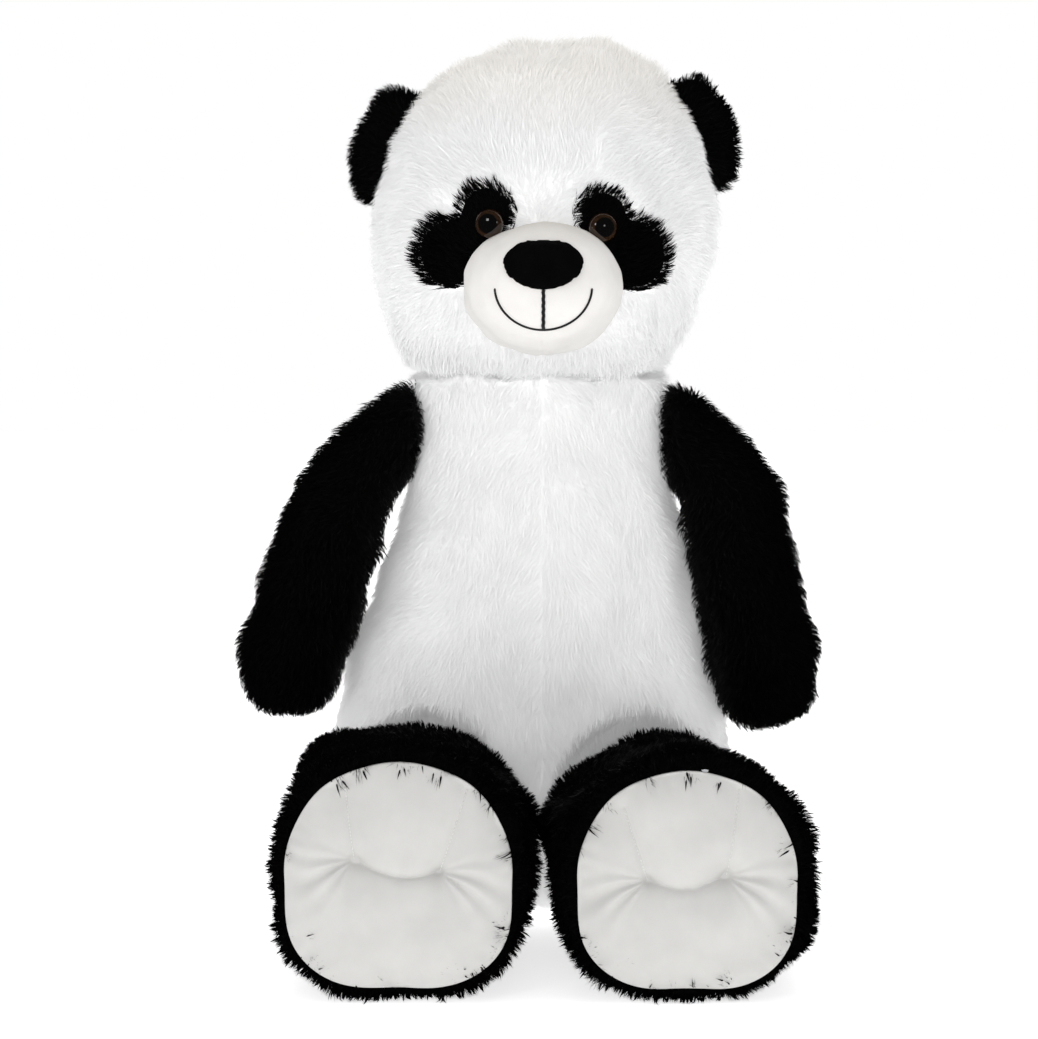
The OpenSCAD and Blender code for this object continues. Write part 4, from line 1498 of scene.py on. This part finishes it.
def sole_height(u, v, side):
    """How far the sole stands forward at (u, v), in metres."""
    r = np.hypot(u, v)
    angle = np.arctan2(v, u)
    h = SOLE_RISE * (1 - np.clip(r, 0, 1) ** 3.2)
    flat = np.stack([u.ravel(), v.ravel(), np.zeros(u.size)], 1)
    h = h + 0.0012 * waves(flat, 0.7, SEED + 60 + SIDE_SEED[side]).reshape(u.shape)
    left, right = (pull for _, pull in PULLS[side])
    sag = [(left[0] + (right[0] - left[0]) * t,
            left[1] + (right[1] - left[1]) * t - 0.08 * math.sin(math.pi * t))
           for t in np.linspace(0, 1, 14)]
    fold = near_path(u, v, sag)
    h = h - 0.003 * bell(fold, 0, 0.05) - 0.003 * bell(fold, 0, 0.18) - 0.002 * bell(fold, 0, 0.016)
    for k, (start, pull) in enumerate(PULLS[side]):
        away = np.hypot(u - pull[0], v - pull[1])
        h = h - 0.005 * np.exp(-((away / 0.05) ** 1.3)) - 0.005 * bell(away, 0, 0.24)
        line = near_path(u, v, [start, pull])
        h = h - 0.0013 * bell(line, 0, 0.02) - 0.003 * bell(line, 0, 0.1)
        outward = 1.0 if pull[0] > 0 else -1.0
        around = np.arctan2(v - pull[1], (u - pull[0]) * outward)
        fan = np.exp(-((around + 0.35) ** 2) / 0.35) * (away < 3)
        folds = np.sin(around * 13 + 1.3 * k + 2.2 * np.sin(away * 4 + k + SIDE_SEED[side]))
        depth = np.clip(away / 0.12, 0, 1) * np.exp(-((away - 0.25) ** 2) / 0.12)
        h = h + 0.0024 * fan * folds * depth
    gather = np.sin(angle * 31 + 2.5 * np.sin(angle * 5 + SIDE_SEED[side])) * (0.6 + 0.4 * np.sin(angle * 7))
    h = h + 0.0011 * gather * bell(1 - r, 0, 0.13) * np.clip((1 - r) / 0.03, 0, 1)
    return np.maximum(h, 0.0012 * (r < 0.9))


def sole_rim(angle):
    """A sole is a little square, like the foot that it closes."""
    wavy = 0.004 * np.sin(9 * angle)
    return (square_foot(np.cos(angle), np.sin(angle)) - 0.01) * (1 + wavy)


for side, sign in SIDES.items():
    (middle_x, back_y, middle_z), radius = sole_place(side)
    rounds, turns = 70, 220
    share = np.linspace(0.004, 1, rounds) ** 0.85
    angle = np.arange(turns) * 2 * math.pi / turns
    u = share[:, None] * np.cos(angle)[None, :]
    v = share[:, None] * np.sin(angle)[None, :]
    height = sole_height(u, v, side)
    rim = sole_rim(angle)[None, :] * radius
    front = np.stack([middle_x + u * rim, back_y - 0.001 - height, middle_z + v * rim], -1)
    back_height = np.full(turns, back_y + 0.003)
    back = np.stack([middle_x + u[-1] * rim[0], back_height, middle_z + v[-1] * rim[0]], -1)
    co = [*front.reshape(-1, 3), *back]
    caps = [tuple(range(start, start + turns)) for start in (0, rounds * turns)]
    sole = closed_mesh(side + "_sole_velour", co, ring_faces(rounds + 1, turns) + caps)
    sole.data.materials.append(SOLE_VELOUR)
    finish_piece(sole, side + "_leg", [side + "_sole_pad"])
    tree = BVHTree.FromObject(sole, bpy.context.evaluated_depsgraph_get())
    dashes = []
    for start, pull in PULLS[side]:
        stitches = 22
        for k in range(stitches):
            span = np.linspace((k + 0.08) / stitches, (k + 0.86) / stitches, 7)
            dashes.append([
                on_surface(
                    tree, middle_x + radius * (start[0] + (pull[0] - start[0]) * t),
                    middle_z + radius * (start[1] + (pull[1] - start[1]) * t), 0.0001,
                )
                for t in span
            ])
    thread_piece(
        side + "_toe_thread", dashes, 0.0005, SOLE_THREAD, side + "_leg",
        [side + "_toe_stitches"], 0.0,
    )


# ---------------------------------------------------------------- label and kept CAD nodes

def label_tab():
    """A blank satin tab that curls down from the back seam."""
    low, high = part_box("care_label")
    across, along = 8, 14
    co = []
    for t in np.arange(along + 1) / along:
        y = low.y - 0.006 + (high.y - low.y + 0.006) * math.sin(t * 1.35) / math.sin(1.35)
        for layer, order in ((0, range(across + 1)), (1, range(across, -1, -1))):
            x = low.x + layer * 0.0009 + 0.004 * t * t
            co += [(x, y, low.z + (high.z - low.z) * k / across - 0.006 * t * t) for k in order]
    ring = 2 * across + 2
    ends = [
        tuple(row * ring + k for k in (j, j + 1, ring - 2 - j, ring - 1 - j))
        for row in (0, along) for j in range(across)
    ]
    return closed_mesh("blank_label_tab", co, ring_faces(along + 1, ring) + ends)


label = label_tab()
label.data.materials.append(SATIN)
finish_piece(label, "torso", ["care_label"])
for node, material in (
    ("left_eye_washer", WASHER_PLASTIC), ("right_eye_washer", WASHER_PLASTIC),
    ("back_closing_stitches", WHITE_THREAD),
):
    for material_slot in frame["nodes"][node].material_slots:
        dress(material_slot, material)
